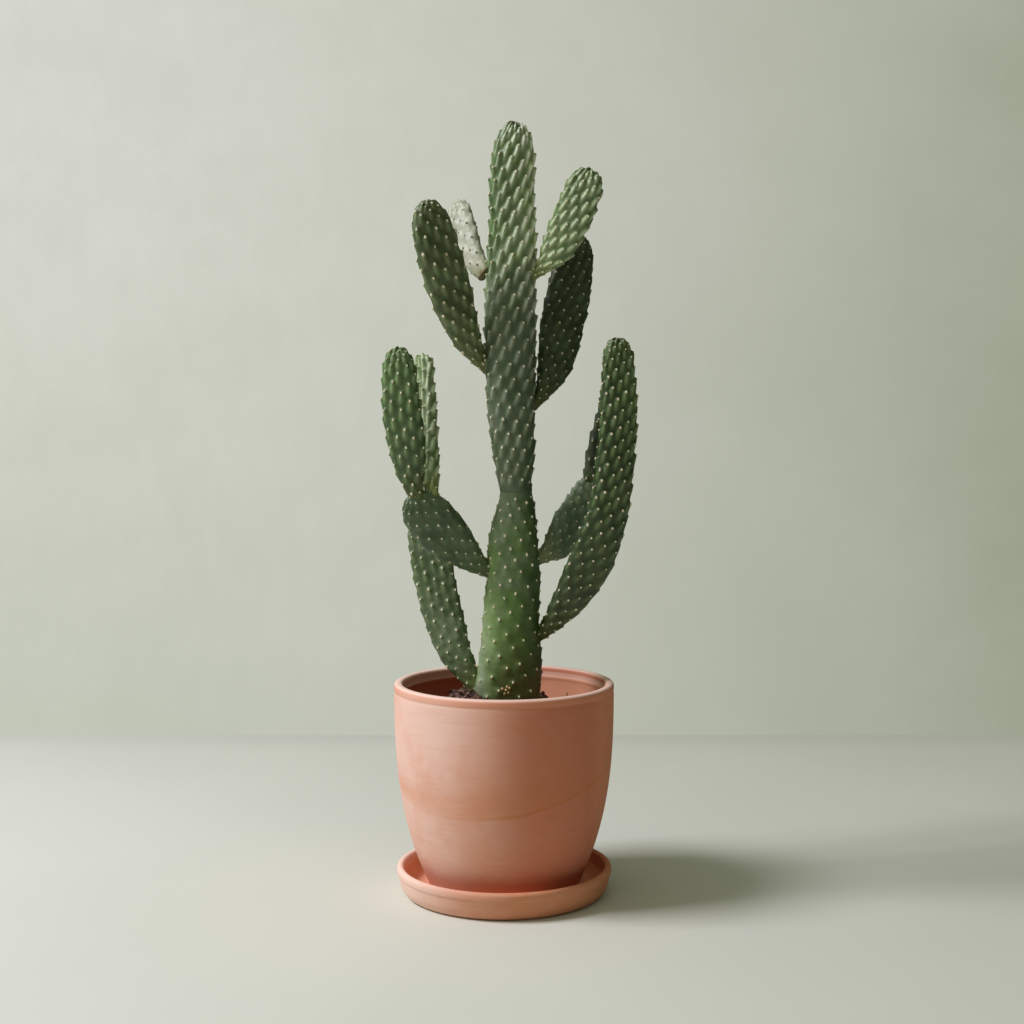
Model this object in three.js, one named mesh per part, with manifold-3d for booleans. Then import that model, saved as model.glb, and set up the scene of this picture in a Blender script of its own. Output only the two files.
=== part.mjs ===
// Potted paddle cactus: a tall flattened trunk with eleven pads, in potting mix, a clay pot and its saucer.
// Millimetres, +Z up. The origin is the centre of the saucer's underside, and -Y faces the viewer.
import * as THREE from 'three';
import { mergeVertices } from 'three/addons/utils/BufferGeometryUtils.js';
import Module from 'manifold-3d';

const wasm = await Module();
wasm.setup();

// Clearance where one piece is shaped by its neighbour
const GAP = 0.3;

// Round ware
const TURN_STEPS = 40;
const RIM_RADIUS = 100;
const FOOT_RADIUS = 67;
const POT_HEIGHT = 187.4;
const POT_WALL = 8;
const POT_FLOOR = 8;
const POT_BELLY = 2.8;
const CROWN_RADIUS = 3;
const RIM_BAND = 7;
const RIM_BEVEL = 1.2;
const INNER_LIP = 9;
const DRAIN_RADIUS = 7;
const FLOOR_FILLET = 3;
// Shares of the pot's height where its wall bends, outside and inside
const OUTER_BENDS = [0.04, 0.15, 0.3, 0.48, 0.7, 0.91];
const INNER_BENDS = [0.14, 0.3, 0.48, 0.7];
const SAUCER_RADIUS = 98;
const SAUCER_BASE_RADIUS = 91.5;
const SAUCER_HEIGHT = 26;
const SAUCER_FLOOR = 6;
const SAUCER_WALL = 6.4;
const SAUCER_BEAD = 4.5;

// Potting mix, heaped a little round the trunk and to the left of it
const SOIL_EDGE = 158;
const SOIL_HEAP = 27;
const HEAP_CENTRE = -12;
const HEAP_FLAT = 27;
const HEAP_REACH = 68;
const CRUMB = 1.3;

// The part of the trunk that stands in the mix is plain
const STUB_FOOT = 140;
const STUB_TOP = 189;
const PINCH_HEIGHT = 366;

// Steps of one tubercle from its hollow up to the areole
const TUBERCLE = [0, 0.2, 0.65, 1];
const SECTION_POWER = 2.25;
const RING_SAMPLES = 180;
const TIP_CROWDING = 0.45;

// Trunk and pads. Points run from base to tip, and turn is how far the broad face looks to the
// right of the viewer, in degrees, at the base and at the tip. Widths and depths are full sizes.
const TRUNK_LOWER = {
  name: 'trunk_lower',
  points: [[2, 0, STUB_FOOT], [4, 0, 185], [6.3, 0, 215], [8, 0, 286], [9, 0, 331], [10, 0, PINCH_HEIGHT]],
  turn: [0, 0],
  widths: [53, 56, 58, 57, 53.5, 50, 47.5, 45.5, 40.5, 29],
  depths: [40, 41, 42, 42, 41, 40, 38, 36, 31, 24],
  columns: 12, rowPitch: 15, relief: 1.8, spiral: -0.45, plainUntil: STUB_TOP,
};
const TRUNK_UPPER = {
  name: 'trunk_upper',
  points: [[10, 0, PINCH_HEIGHT + GAP], [9, 0, 394], [6.5, -1, 439], [6, -1, 493], [6, 0, 547], [7, 0, 609],
    [9, -1, 662], [10, -1, 697]],
  turn: [0, -6],
  widths: [28, 37, 42, 45, 46, 45.5, 43.5, 41, 39, 37.5, 34.5],
  depths: [23, 28, 30, 32, 32, 31, 30, 29, 28, 27, 25],
  columns: 10, rowPitch: 14, relief: 2.6, spiral: -0.5, roundTip: 0.895,
};
const PADS = [
  { name: 'pad_lower_left', on: 'trunk_lower',
    points: [[-22.5, 0, 182.5], [-35.5, 6, 203.5], [-44, 10, 217], [-51, 14, 235], [-58, 18, 258.5],
      [-63.5, 21, 283.5], [-75.5, 26, 344]],
    turn: [-16, -12],
    widths: [12, 19, 29, 34.5, 38, 39, 39, 38, 37, 36],
    depths: [11, 13, 14, 15, 15, 15, 15, 14, 14, 13],
    columns: 6, rowPitch: 11, relief: 1.1, roundTip: 0.84 },
  { name: 'pad_mid_left', on: 'trunk_lower',
    points: [[-7, 1, 290], [-24, -5, 301.5], [-38, -10, 314], [-52, -15, 327.5], [-65, -19, 342],
      [-85, -26, 363]],
    turn: [-4, 6],
    widths: [10, 14.5, 24, 34, 41, 43.5, 44, 43.5, 42], depths: [10, 12, 14, 15, 16, 16, 16, 15, 14],
    columns: 7, rowPitch: 11, relief: 0.9, roundTip: 0.74 },
  { name: 'pad_left_front', on: 'pad_mid_left',
    points: [[-75, -24, 356.5], [-80.5, -26, 374.5], [-83.5, -28, 388], [-86.5, -31, 408],
      [-91.5, -36, 445.5], [-93.5, -41, 495.5]],
    turn: [-10, -10],
    widths: [11.5, 18, 27.5, 33.5, 35, 35, 34, 32, 30, 29],
    depths: [10, 12, 13, 14, 14, 14, 14, 13, 12],
    columns: 6, rowPitch: 9.6, relief: 1.7, roundTip: 0.83 },
  { name: 'pad_left_rear', on: 'pad_mid_left',
    points: [[-64, -20, 357], [-65.5, -13, 386.5], [-67.5, -8, 413.5], [-72, 2, 462.5], [-74, 8, 491]],
    turn: [-58, -52],
    widths: [14, 16, 18.5, 21, 23, 24.5, 25.5, 26.5, 27], depths: [10, 11, 12, 12, 12, 12, 12, 12, 11],
    columns: 5, rowPitch: 9.6, relief: 1.7, roundTip: 0.86 },
  { name: 'pad_upper_left', on: 'trunk_upper',
    points: [[-14, 4, 475], [-27, -6, 493], [-36, -12, 510], [-43.5, -19, 532], [-56.5, -34, 576],
      [-67.5, -41, 622]],
    turn: [24, 20],
    widths: [10, 16, 26, 33, 38.5, 41, 40.5, 38.5, 36, 35],
    depths: [10, 12, 14, 15, 15, 15, 15, 14, 14, 13],
    columns: 7, rowPitch: 10.5, relief: 1.4, roundTip: 0.82 },
  { name: 'pad_upper_left_rear', on: 'trunk_upper',
    points: [[-17, 2, 560.5], [-27.5, 14, 577], [-33, 24, 592], [-37.5, 34, 607], [-43.5, 50, 631.5]],
    turn: [-40, -36],
    widths: [15, 20, 23.5, 25.5, 26.5, 26.5, 26, 25], depths: [9, 11, 12, 12, 12, 12, 11, 11],
    columns: 5, rowPitch: 9, relief: 1.5, roundTip: 0.8 },
  { name: 'pad_upper_right', on: 'trunk_upper',
    points: [[24, 0, 556.5], [39.5, -9, 572], [47.5, -14, 583.5], [55, -19, 597.5], [68, -28, 627],
      [75, -32, 651]],
    turn: [-16, -14],
    widths: [7, 10, 20.5, 29, 33, 34.5, 34.5, 33, 32.5, 32], depths: [9, 11, 13, 14, 14, 14, 14, 13, 12],
    columns: 6, rowPitch: 9.6, relief: 2, roundTip: 0.8 },
  { name: 'pad_upper_right_rear', on: 'trunk_upper',
    points: [[25.5, 0, 441], [37.5, 10, 460.5], [44.5, 16, 477], [49.5, 22, 495.5], [53, 28, 515],
      [61.5, 39, 559], [68.5, 47, 602.5]],
    turn: [28, 24],
    widths: [7, 16, 29.5, 38, 42.5, 43.5, 43, 41.5, 40, 38.5],
    depths: [10, 12, 14, 15, 15, 15, 15, 14, 14, 13],
    columns: 6, rowPitch: 10.5, relief: 1.4, roundTip: 0.82 },
  { name: 'pad_mid_right', on: 'trunk_lower',
    points: [[27, 3, 301.5], [47.5, 13, 315.5], [60.5, 21, 332], [71, 29, 346], [77.5, 34, 359],
      [81.5, 38, 377.5]],
    turn: [18, 24],
    widths: [9.5, 14.5, 27, 34, 39, 40, 38, 36, 35], depths: [9, 11, 13, 14, 14, 14, 14, 14, 13],
    columns: 7, rowPitch: 10.5, relief: 1.1, roundTip: 0.78 },
  { name: 'pad_mid_right_tip', on: 'pad_mid_right',
    points: [[77, 36, 362], [84.5, 41, 398], [93.5, 44, 430], [100.5, 46, 463], [104, 48, 496]],
    turn: [66, 62],
    widths: [13, 19, 25, 29, 30, 30, 29, 28, 27], depths: [11, 12, 13, 13, 13, 13, 12, 12, 11],
    columns: 5, rowPitch: 9.6, relief: 1.6, roundTip: 0.84 },
  { name: 'pad_right', on: 'trunk_lower',
    points: [[28, 2, 231.5], [46, -7, 251], [57.5, -12, 267], [68.5, -16, 286], [78.5, -20, 305.5],
      [86.5, -24, 328.5], [93, -26, 351], [101.5, -30, 412.5], [102, -31, 455], [100.5, -30, 504]],
    turn: [14, 10],
    widths: [9.5, 16, 28, 35.5, 40, 40.5, 38.5, 36.5, 36, 35.5, 34.5, 33.5, 31, 28, 25],
    depths: [10, 12, 14, 15, 15, 15, 15, 15, 14, 14, 14, 14, 13, 13, 12],
    columns: 6, rowPitch: 10, relief: 1.6, roundTip: 0.935 },
];

const COLOURS = {
  clay: 0xcf8f72, saucerClay: 0xc9805c, mix: 0x2e1f18,
  trunk: 0x4f6b4a, old: 0x50685a, fresh: 0x5f7f4c, dark: 0x34482f,
};

function arc(x, y, radius, from, to, steps) {
  const points = [];
  for (let i = 0; i <= steps; i += 1) {
    const angle = THREE.MathUtils.degToRad(from + ((to - from) * i) / steps);
    points.push(new THREE.Vector2(x + radius * Math.cos(angle), y + radius * Math.sin(angle)));
  }
  return points;
}

function onlyPositions(geometry) {
  const bare = geometry.clone();
  bare.deleteAttribute('normal');
  bare.deleteAttribute('uv');
  return mergeVertices(bare, 1e-4);
}

function meshOf(vertices, faces) {
  const geometry = new THREE.BufferGeometry();
  geometry.setFromPoints(vertices);
  geometry.setIndex(faces);
  return geometry;
}

function turned(profile) {
  return onlyPositions(new THREE.LatheGeometry(profile, TURN_STEPS).rotateX(Math.PI / 2));
}

function toSolid(geometry) {
  return new wasm.Manifold(new wasm.Mesh({
    numProp: 3,
    vertProperties: Float32Array.from(geometry.attributes.position.array),
    triVerts: Uint32Array.from(geometry.index.array),
  }));
}

function toGeometry(solid) {
  const mesh = solid.getMesh();
  const geometry = new THREE.BufferGeometry();
  geometry.setAttribute('position', new THREE.BufferAttribute(Float32Array.from(mesh.vertProperties), 3));
  geometry.setIndex(Array.from(mesh.triVerts));
  return geometry;
}

// Smooth value along a list of evenly spaced sizes
function along(sizes, u) {
  const place = THREE.MathUtils.clamp(u, 0, 1) * (sizes.length - 1);
  const first = Math.min(Math.floor(place), sizes.length - 2);
  const at = (k) => sizes[THREE.MathUtils.clamp(first + k, 0, sizes.length - 1)];
  const t = place - first;
  const pull = at(1) - at(-1);
  const leave = at(2) - at(0);
  const drop = at(0) - at(1);
  const square = -3 * drop - pull - leave / 2;
  const cube = 2 * drop + pull / 2 + leave / 2;
  return at(0) + (t * pull) / 2 + square * t ** 2 + cube * t ** 3;
}

function tipRound(u, start) {
  if (start === undefined || u < start) return 1;
  return Math.sqrt(Math.max(0, 1 - ((u - start) / (1 - start)) ** 2));
}

// The faces stay apart nearly to the tip, while the outline rounds off earlier
function halfSizes(stem, u, length) {
  const thick = stem.depths[stem.depths.length - 1];
  const deepStart = stem.roundTip && Math.max(stem.roundTip, 1 - thick / length);
  return [
    (along(stem.widths, u) / 2) * tipRound(u, stem.roundTip),
    (along(stem.depths, u) / 2) * tipRound(u, deepStart),
  ];
}

// Place of a section's outline at an angle, with flattened faces and full edges
function outline(half, deep, angle) {
  const bend = (value) => Math.sign(value) * Math.abs(value) ** (2 / SECTION_POWER);
  return [half * bend(Math.cos(angle)), deep * bend(Math.sin(angle))];
}

// Angles that share the outline out evenly by length, the first one set on by a part of a turn
function evenAngles(half, deep, count, offset) {
  const lengths = [0];
  let last = outline(half, deep, 0);
  for (let i = 1; i <= RING_SAMPLES; i += 1) {
    const next = outline(half, deep, (2 * Math.PI * i) / RING_SAMPLES);
    lengths.push(lengths[i - 1] + Math.hypot(next[0] - last[0], next[1] - last[1]));
    last = next;
  }
  const whole = lengths[RING_SAMPLES];
  return Array.from({ length: count }, (_, j) => {
    const wanted = THREE.MathUtils.euclideanModulo(j / count + offset, 1) * whole;
    let i = 1;
    while (lengths[i] < wanted) i += 1;
    const part = (wanted - lengths[i - 1]) / (lengths[i] - lengths[i - 1]);
    return (2 * Math.PI * (i - 1 + part)) / RING_SAMPLES;
  });
}

// Rows stand closer together where the tip rounds off
function rowPlaces(stem, length) {
  const samples = 400;
  const total = [0];
  for (let i = 1; i <= samples; i += 1) {
    const crowd = TIP_CROWDING + (1 - TIP_CROWDING) * tipRound((i - 0.5) / samples, stem.roundTip);
    total.push(total[i - 1] + length / samples / (stem.rowPitch * crowd));
  }
  const rows = 2 * Math.round(total[samples]);
  const places = [];
  for (let k = 0; k <= rows; k += 1) {
    const wanted = (k / rows) * total[samples];
    let i = 1;
    while (i < samples && total[i] < wanted) i += 1;
    places.push((i - 1 + (wanted - total[i - 1]) / (total[i] - total[i - 1])) / samples);
  }
  return places;
}

// A flattened tube along the stem's curve, its rings raised into staggered tubercles
function stemGeometry(stem, grow = 0) {
  const points = stem.points.map((place) => new THREE.Vector3(...place));
  const curve = new THREE.CatmullRomCurve3(points, false, 'centripetal');
  const length = curve.getLength();
  const places = rowPlaces(stem, length);
  const around = 2 * stem.columns;
  const vertices = [];
  const faces = [];
  const rings = stem.roundTip ? places.slice(0, -1) : places;
  const heights = [];
  rings.forEach((u, i) => {
    const centre = curve.getPointAt(u);
    const level = stem.spiral && (u === 0 || u === 1);
    const heading = level ? new THREE.Vector3(0, 0, 1) : curve.getTangentAt(u);
    const turn = THREE.MathUtils.degToRad(THREE.MathUtils.lerp(stem.turn[0], stem.turn[1], u));
    const face = new THREE.Vector3(Math.sin(turn), -Math.cos(turn), 0);
    face.addScaledVector(heading, -face.dot(heading)).normalize();
    const side = new THREE.Vector3().crossVectors(face, heading);
    const [half, deep] = halfSizes(stem, u, length).map((size) => size + grow);
    const plain = stem.plainUntil && centre.z < stem.plainUntil;
    const fade = plain ? 0 : Math.min(1, tipRound(u, stem.roundTip) + 0.35);
    evenAngles(half, deep, around, (stem.spiral ?? 0) * u).forEach((angle, j) => {
      const [x, y] = outline(half, deep, angle);
      const out = new THREE.Vector2(x / half ** 2, y / deep ** 2).normalize();
      const height = TUBERCLE[(i + 2 * (j % 2)) % 4];
      const lift = stem.relief * fade * (height - 0.5);
      const vertex = centre.clone().addScaledVector(side, x + out.x * lift);
      heights.push(height);
      vertices.push(vertex.addScaledVector(face, y + out.y * lift));
    });
  });
  for (let i = 0; i < rings.length - 1; i += 1) {
    for (let j = 0; j < around; j += 1) {
      const a = i * around + j;
      const b = i * around + ((j + 1) % around);
      const [c, d] = [a + around, b + around];
      if (heights[a] + heights[d] < heights[b] + heights[c]) faces.push(a, b, d, a, d, c);
      else faces.push(a, b, c, b, d, c);
    }
  }
  const foot = vertices.push(curve.getPointAt(0)) - 1;
  const tip = vertices.push(curve.getPointAt(1)) - 1;
  const top = (rings.length - 1) * around;
  for (let j = 0; j < around; j += 1) {
    const next = (j + 1) % around;
    faces.push(foot, next, j, tip, top + j, top + next);
  }
  return meshOf(vertices, faces);
}

function wallHeight(share) {
  return SAUCER_FLOOR + share * POT_HEIGHT;
}

function potOuterRadius(z) {
  const t = THREE.MathUtils.clamp((z - SAUCER_FLOOR) / POT_HEIGHT, 0, 1);
  return FOOT_RADIUS + (RIM_RADIUS - FOOT_RADIUS) * (1 - (1 - t) ** POT_BELLY);
}

function potInnerRadius(z) {
  return potOuterRadius(z) - POT_WALL;
}

function potGeometry() {
  const top = SAUCER_FLOOR + POT_HEIGHT;
  const inside = SAUCER_FLOOR + POT_FLOOR;
  const crown = top - CROWN_RADIUS;
  const band = top - RIM_BAND;
  const lip = top - INNER_LIP;
  const point = (x, z) => new THREE.Vector2(x, z);
  const inner = [...INNER_BENDS.map(wallHeight), SOIL_EDGE];
  const profile = [
    point(DRAIN_RADIUS, SAUCER_FLOOR), point(FOOT_RADIUS - 2, SAUCER_FLOOR),
    ...OUTER_BENDS.map(wallHeight).map((z) => point(potOuterRadius(z), z)),
    point(RIM_RADIUS - RIM_BEVEL, band - 1), point(RIM_RADIUS, band + 1),
    ...arc(RIM_RADIUS - CROWN_RADIUS, crown, CROWN_RADIUS, 0, 90, 2),
    ...arc(RIM_RADIUS - POT_WALL + CROWN_RADIUS, crown, CROWN_RADIUS, 90, 180, 2),
    point(RIM_RADIUS - POT_WALL, lip + 1), point(potInnerRadius(lip) - 1, lip - 1),
    ...inner.reverse().map((z) => point(potInnerRadius(z), z)),
    point(potInnerRadius(inside) - FLOOR_FILLET, inside), point(DRAIN_RADIUS, inside),
    point(DRAIN_RADIUS, SAUCER_FLOOR),
  ];
  return turned(profile);
}

function saucerGeometry() {
  const bead = SAUCER_WALL / 2;
  const beadCentre = SAUCER_HEIGHT - bead;
  const groove = SAUCER_HEIGHT - bead - SAUCER_BEAD;
  const point = (x, z) => new THREE.Vector2(x, z);
  return turned([
    point(0, 0), point(SAUCER_BASE_RADIUS - 4, 0), point(SAUCER_BASE_RADIUS, 2.5),
    point(SAUCER_BASE_RADIUS + 3.6, 9), point(SAUCER_RADIUS - 1.2, groove - 1),
    point(SAUCER_RADIUS, groove + 1),
    ...arc(SAUCER_RADIUS - bead, beadCentre, bead, 0, 180, 4),
    point(SAUCER_RADIUS - SAUCER_WALL - 1, 14), point(SAUCER_BASE_RADIUS - 7, 8),
    point(SAUCER_BASE_RADIUS - 10, SAUCER_FLOOR), point(0, SAUCER_FLOOR),
  ]);
}

// Repeatable crumbs without a random draw
function crumb(x, y) {
  const wave = Math.sin(x * 0.31 + 2 * Math.sin(y * 0.23)) + Math.sin(y * 0.37 + 1.7 * Math.sin(x * 0.19));
  const grain = Math.sin(x * 1.27 + y * 2.11) * Math.sin(x * 2.31 - y * 0.93);
  return CRUMB * (0.35 * wave + 0.65 * grain);
}

function soilTop(x, y) {
  const away = Math.hypot(x - HEAP_CENTRE, y);
  return SOIL_EDGE + SOIL_HEAP * (1 - THREE.MathUtils.smoothstep(away, HEAP_FLAT, HEAP_REACH));
}

function soilGeometry() {
  const floor = SAUCER_FLOOR + POT_FLOOR;
  const sideHeights = [floor, ...INNER_BENDS.map(wallHeight)];
  const rings = [];
  const vertices = [];
  const faces = [];
  const ring = (place) => {
    rings.push(vertices.length);
    for (let j = 0; j < TURN_STEPS; j += 1) vertices.push(place((2 * Math.PI * j) / TURN_STEPS));
  };
  sideHeights.forEach((z, i) => ring((angle) => {
    const radius = potInnerRadius(z) - (i === 0 ? FLOOR_FILLET : 0) - GAP;
    return new THREE.Vector3(radius * Math.cos(angle), radius * Math.sin(angle), z);
  }));
  const brim = potInnerRadius(SOIL_EDGE) - GAP;
  [1, 0.9, 0.78, 0.67, 0.56, 0.46, 0.35].forEach((share, i) => ring((angle) => {
    const [x, y] = [brim * share * Math.cos(angle), brim * share * Math.sin(angle)];
    return new THREE.Vector3(x, y, soilTop(x, y) + (i === 0 ? 0 : crumb(x, y)));
  }));
  for (let i = 0; i < rings.length - 1; i += 1) {
    for (let j = 0; j < TURN_STEPS; j += 1) {
      const next = (j + 1) % TURN_STEPS;
      const [a, b, c, d] = [rings[i] + j, rings[i] + next, rings[i + 1] + j, rings[i + 1] + next];
      faces.push(a, b, d, a, d, c);
    }
  }
  const bottom = vertices.push(new THREE.Vector3(0, 0, floor)) - 1;
  const middle = vertices.push(new THREE.Vector3(0, 0, soilTop(0, 0))) - 1;
  const last = rings[rings.length - 1];
  for (let j = 0; j < TURN_STEPS; j += 1) {
    const next = (j + 1) % TURN_STEPS;
    faces.push(bottom, next, j, middle, last + j, last + next);
  }
  return meshOf(vertices, faces);
}

function piece(name, geometry, color, roughness) {
  geometry.computeVertexNormals();
  const mesh = new THREE.Mesh(geometry, new THREE.MeshStandardMaterial({ color, roughness, metalness: 0 }));
  mesh.name = name;
  return mesh;
}

const stems = Object.fromEntries([TRUNK_LOWER, TRUNK_UPPER, ...PADS].map((stem) => [stem.name, stem]));

// A pad's base is shaped to the stem that bears it, and scraps beyond the joint are dropped
function padGeometry(pad) {
  const bearer = toSolid(stemGeometry(stems[pad.on], GAP));
  const bodies = toSolid(stemGeometry(pad)).subtract(bearer).decompose();
  return toGeometry(bodies.reduce((best, body) => (body.numTri() > best.numTri() ? body : best)));
}

// The mix is hollowed where the trunk and the base of the lowest pad stand in it
function plantedSoil() {
  const trunk = toSolid(stemGeometry(TRUNK_LOWER, GAP));
  const lowestPad = toSolid(stemGeometry(stems.pad_lower_left, GAP));
  return toGeometry(toSolid(soilGeometry()).subtract(trunk).subtract(lowestPad));
}

function padColour(pad) {
  if (pad.turn[0] > 10) return COLOURS.dark;
  return pad.relief > 1.2 ? COLOURS.fresh : COLOURS.old;
}

const cactus = new THREE.Group();
cactus.add(
  piece('saucer', saucerGeometry(), COLOURS.saucerClay, 0.8),
  piece('pot', potGeometry(), COLOURS.clay, 0.8),
  piece('soil', plantedSoil(), COLOURS.mix, 1),
  piece('trunk_lower', stemGeometry(TRUNK_LOWER), COLOURS.trunk, 0.55),
  piece('trunk_upper', stemGeometry(TRUNK_UPPER), COLOURS.trunk, 0.55),
  ...PADS.map((pad) => piece(pad.name, padGeometry(pad), padColour(pad), 0.55)),
);

export default cactus;
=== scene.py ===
"""Potted paddle cactus: the grown stems, their areoles, the potting mix, the clay pot and its saucer."""
import math
import random

import bpy
import numpy as np
from bpy.props import FloatProperty, FloatVectorProperty, IntProperty, PointerProperty
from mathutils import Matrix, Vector, noise


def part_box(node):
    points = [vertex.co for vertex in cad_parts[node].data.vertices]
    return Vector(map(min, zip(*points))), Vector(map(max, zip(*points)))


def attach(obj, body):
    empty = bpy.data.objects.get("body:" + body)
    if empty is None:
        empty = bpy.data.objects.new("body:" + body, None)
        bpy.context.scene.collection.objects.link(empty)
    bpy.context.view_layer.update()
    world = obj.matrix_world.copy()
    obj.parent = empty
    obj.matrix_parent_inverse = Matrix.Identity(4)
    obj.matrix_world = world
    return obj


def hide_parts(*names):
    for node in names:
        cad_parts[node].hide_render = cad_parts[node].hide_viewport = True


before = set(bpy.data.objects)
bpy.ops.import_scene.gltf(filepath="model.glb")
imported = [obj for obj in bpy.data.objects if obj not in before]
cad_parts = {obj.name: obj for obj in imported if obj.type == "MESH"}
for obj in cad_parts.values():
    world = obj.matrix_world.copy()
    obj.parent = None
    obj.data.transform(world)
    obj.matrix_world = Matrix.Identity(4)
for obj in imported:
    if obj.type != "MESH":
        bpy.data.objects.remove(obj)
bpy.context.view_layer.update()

bl_info = {
    "name": "Potted paddle cactus",
    "version": (1, 0, 0),
    "blender": (4, 5, 0),
    "location": "3D View > Sidebar > Cactus",
    "description": "Builds a potted paddle cactus, piece by piece, round its packed solids",
    "category": "Add Mesh",
}

MM = 0.001
BODY = "root"

# Photograph's camera, in metres and degrees
IMAGE_SIDE = 1024
FOCAL_PIXELS = 1588.0
CAMERA_PLACE = (0.0072, -1.432, 0.4375)
CAMERA_PITCH = -3.6
SENSOR = 36.0

# Round ware, in millimetres
POT_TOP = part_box("pot")[1].z / MM
POT_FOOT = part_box("pot")[0].z / MM
RIM_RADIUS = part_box("pot")[1].x / MM
FOOT_RADIUS = 67.0
POT_WALL = 8.0
POT_FLOOR = 8.0
POT_BELLY = 2.8
CROWN_RADIUS = 3.2
RIM_BAND = 7.0
RIM_BEVEL = 0.5
INNER_LIP = 9.0
DRAIN_RADIUS = 7.0
SAUCER_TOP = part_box("saucer")[1].z / MM
SAUCER_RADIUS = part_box("saucer")[1].x / MM
SAUCER_BASE_RADIUS = 91.5
SAUCER_FLOOR = 6.0
SAUCER_WALL = 6.4
SAUCER_BEAD = 4.5
TURN_STEPS = 144

# Heap of potting mix, in millimetres
SOIL_EDGE = 158.0
SOIL_HEAP = 27.0
HEAP_CENTRE = -12.0
HEAP_FLAT = 27.0
HEAP_REACH = 68.0
BANK_LIFT, BANK_PLACE, BANK_SIZE = 9.5, (39, 15), (14, 22)              # bank right of the trunk
DIP_DEPTH, DIP_MIDDLE, DIP_HALF, DIP_FRONT = 9.5, 5, 25, (2, 16)        # dip before the trunk's foot
MIX_LUMPS = ((2.0, 0.055, 3.0), (1.1, 0.23, 9.0), (0.6, 0.75, 21.0))    # height, closeness and layer
MIX_STEPS = 240
MIX_SHARES = np.concatenate([np.linspace(1, 0.16, 86), np.linspace(0.13, 0.02, 5)])     # rings of its top
CLEARING_AT, CLEARING_WIDE, CLEARING_DEEP = 4, 31, 23                   # room without crumbs at the trunk
CRUMB_SEED = 41

# Growth of the stems, in millimetres where a length is meant
TRUNK_POWER, PAD_POWER = 2.3, 2.7       # how boxy a section is, where 2 is an ellipse
RING_SAMPLES = 240
LENGTH_SAMPLES = 800
FINE = 1.05                             # size of the skin's faces
LAST_BEND = 0.985                       # how far the last ring goes towards the very tip
CROWD_TIP, CROWD_REACH = 0.36, 28.0     # room of a row at the very tip, and where it begins to shrink
JOINT_REACH = 16                        # length over which a trunk's ends turn upright
BARE_FOOT, GROWN_FOOT = 166, 178        # heights between which the trunk's relief sets in
LUMP_LENGTH, DIMPLE_LENGTH, DIMPLE_HEIGHT = 42, 9, 0.16
KNOB_LIFT, KNOB_SIZE = 2.2, (9, 12, 10)
RIDGE_SINK = 0.4                        # share of a tubercle's height by which the skin sinks between them
OLD_UNTIL, YOUNG_FROM = 0.18, 0.72      # shares of the length between which the ridges change
FIRST_ROW, LAST_ROOM = 0.3, 0.15        # rows left out at the base and at the tip
ROUGH_ROWS, ROUGH_COLUMNS = 64, 16      # after how many areoles the rough placing repeats
STEM_SEED, AREOLE_SEED = 100, 200

# Areoles, in millimetres
FELT, BRISTLE = 0, 1                    # the two materials of a piece of areoles
DOME_SIDES = 8
DOME_RINGS = ((1.0, -0.5), (0.96, 0.2), (0.62, 0.8))    # share of the radius, share of the height
DOME_LONG, DOME_HEIGHT = 1.3, 0.68      # both against the cushion's radius
BRISTLE_THICK, BRISTLE_COUNT = 0.07, 5
TUFT_THICK, TUFT_COUNT, TUFT_RADIUS, TUFT_HEIGHT = 0.10, 16, 1.15, 0.9

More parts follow.
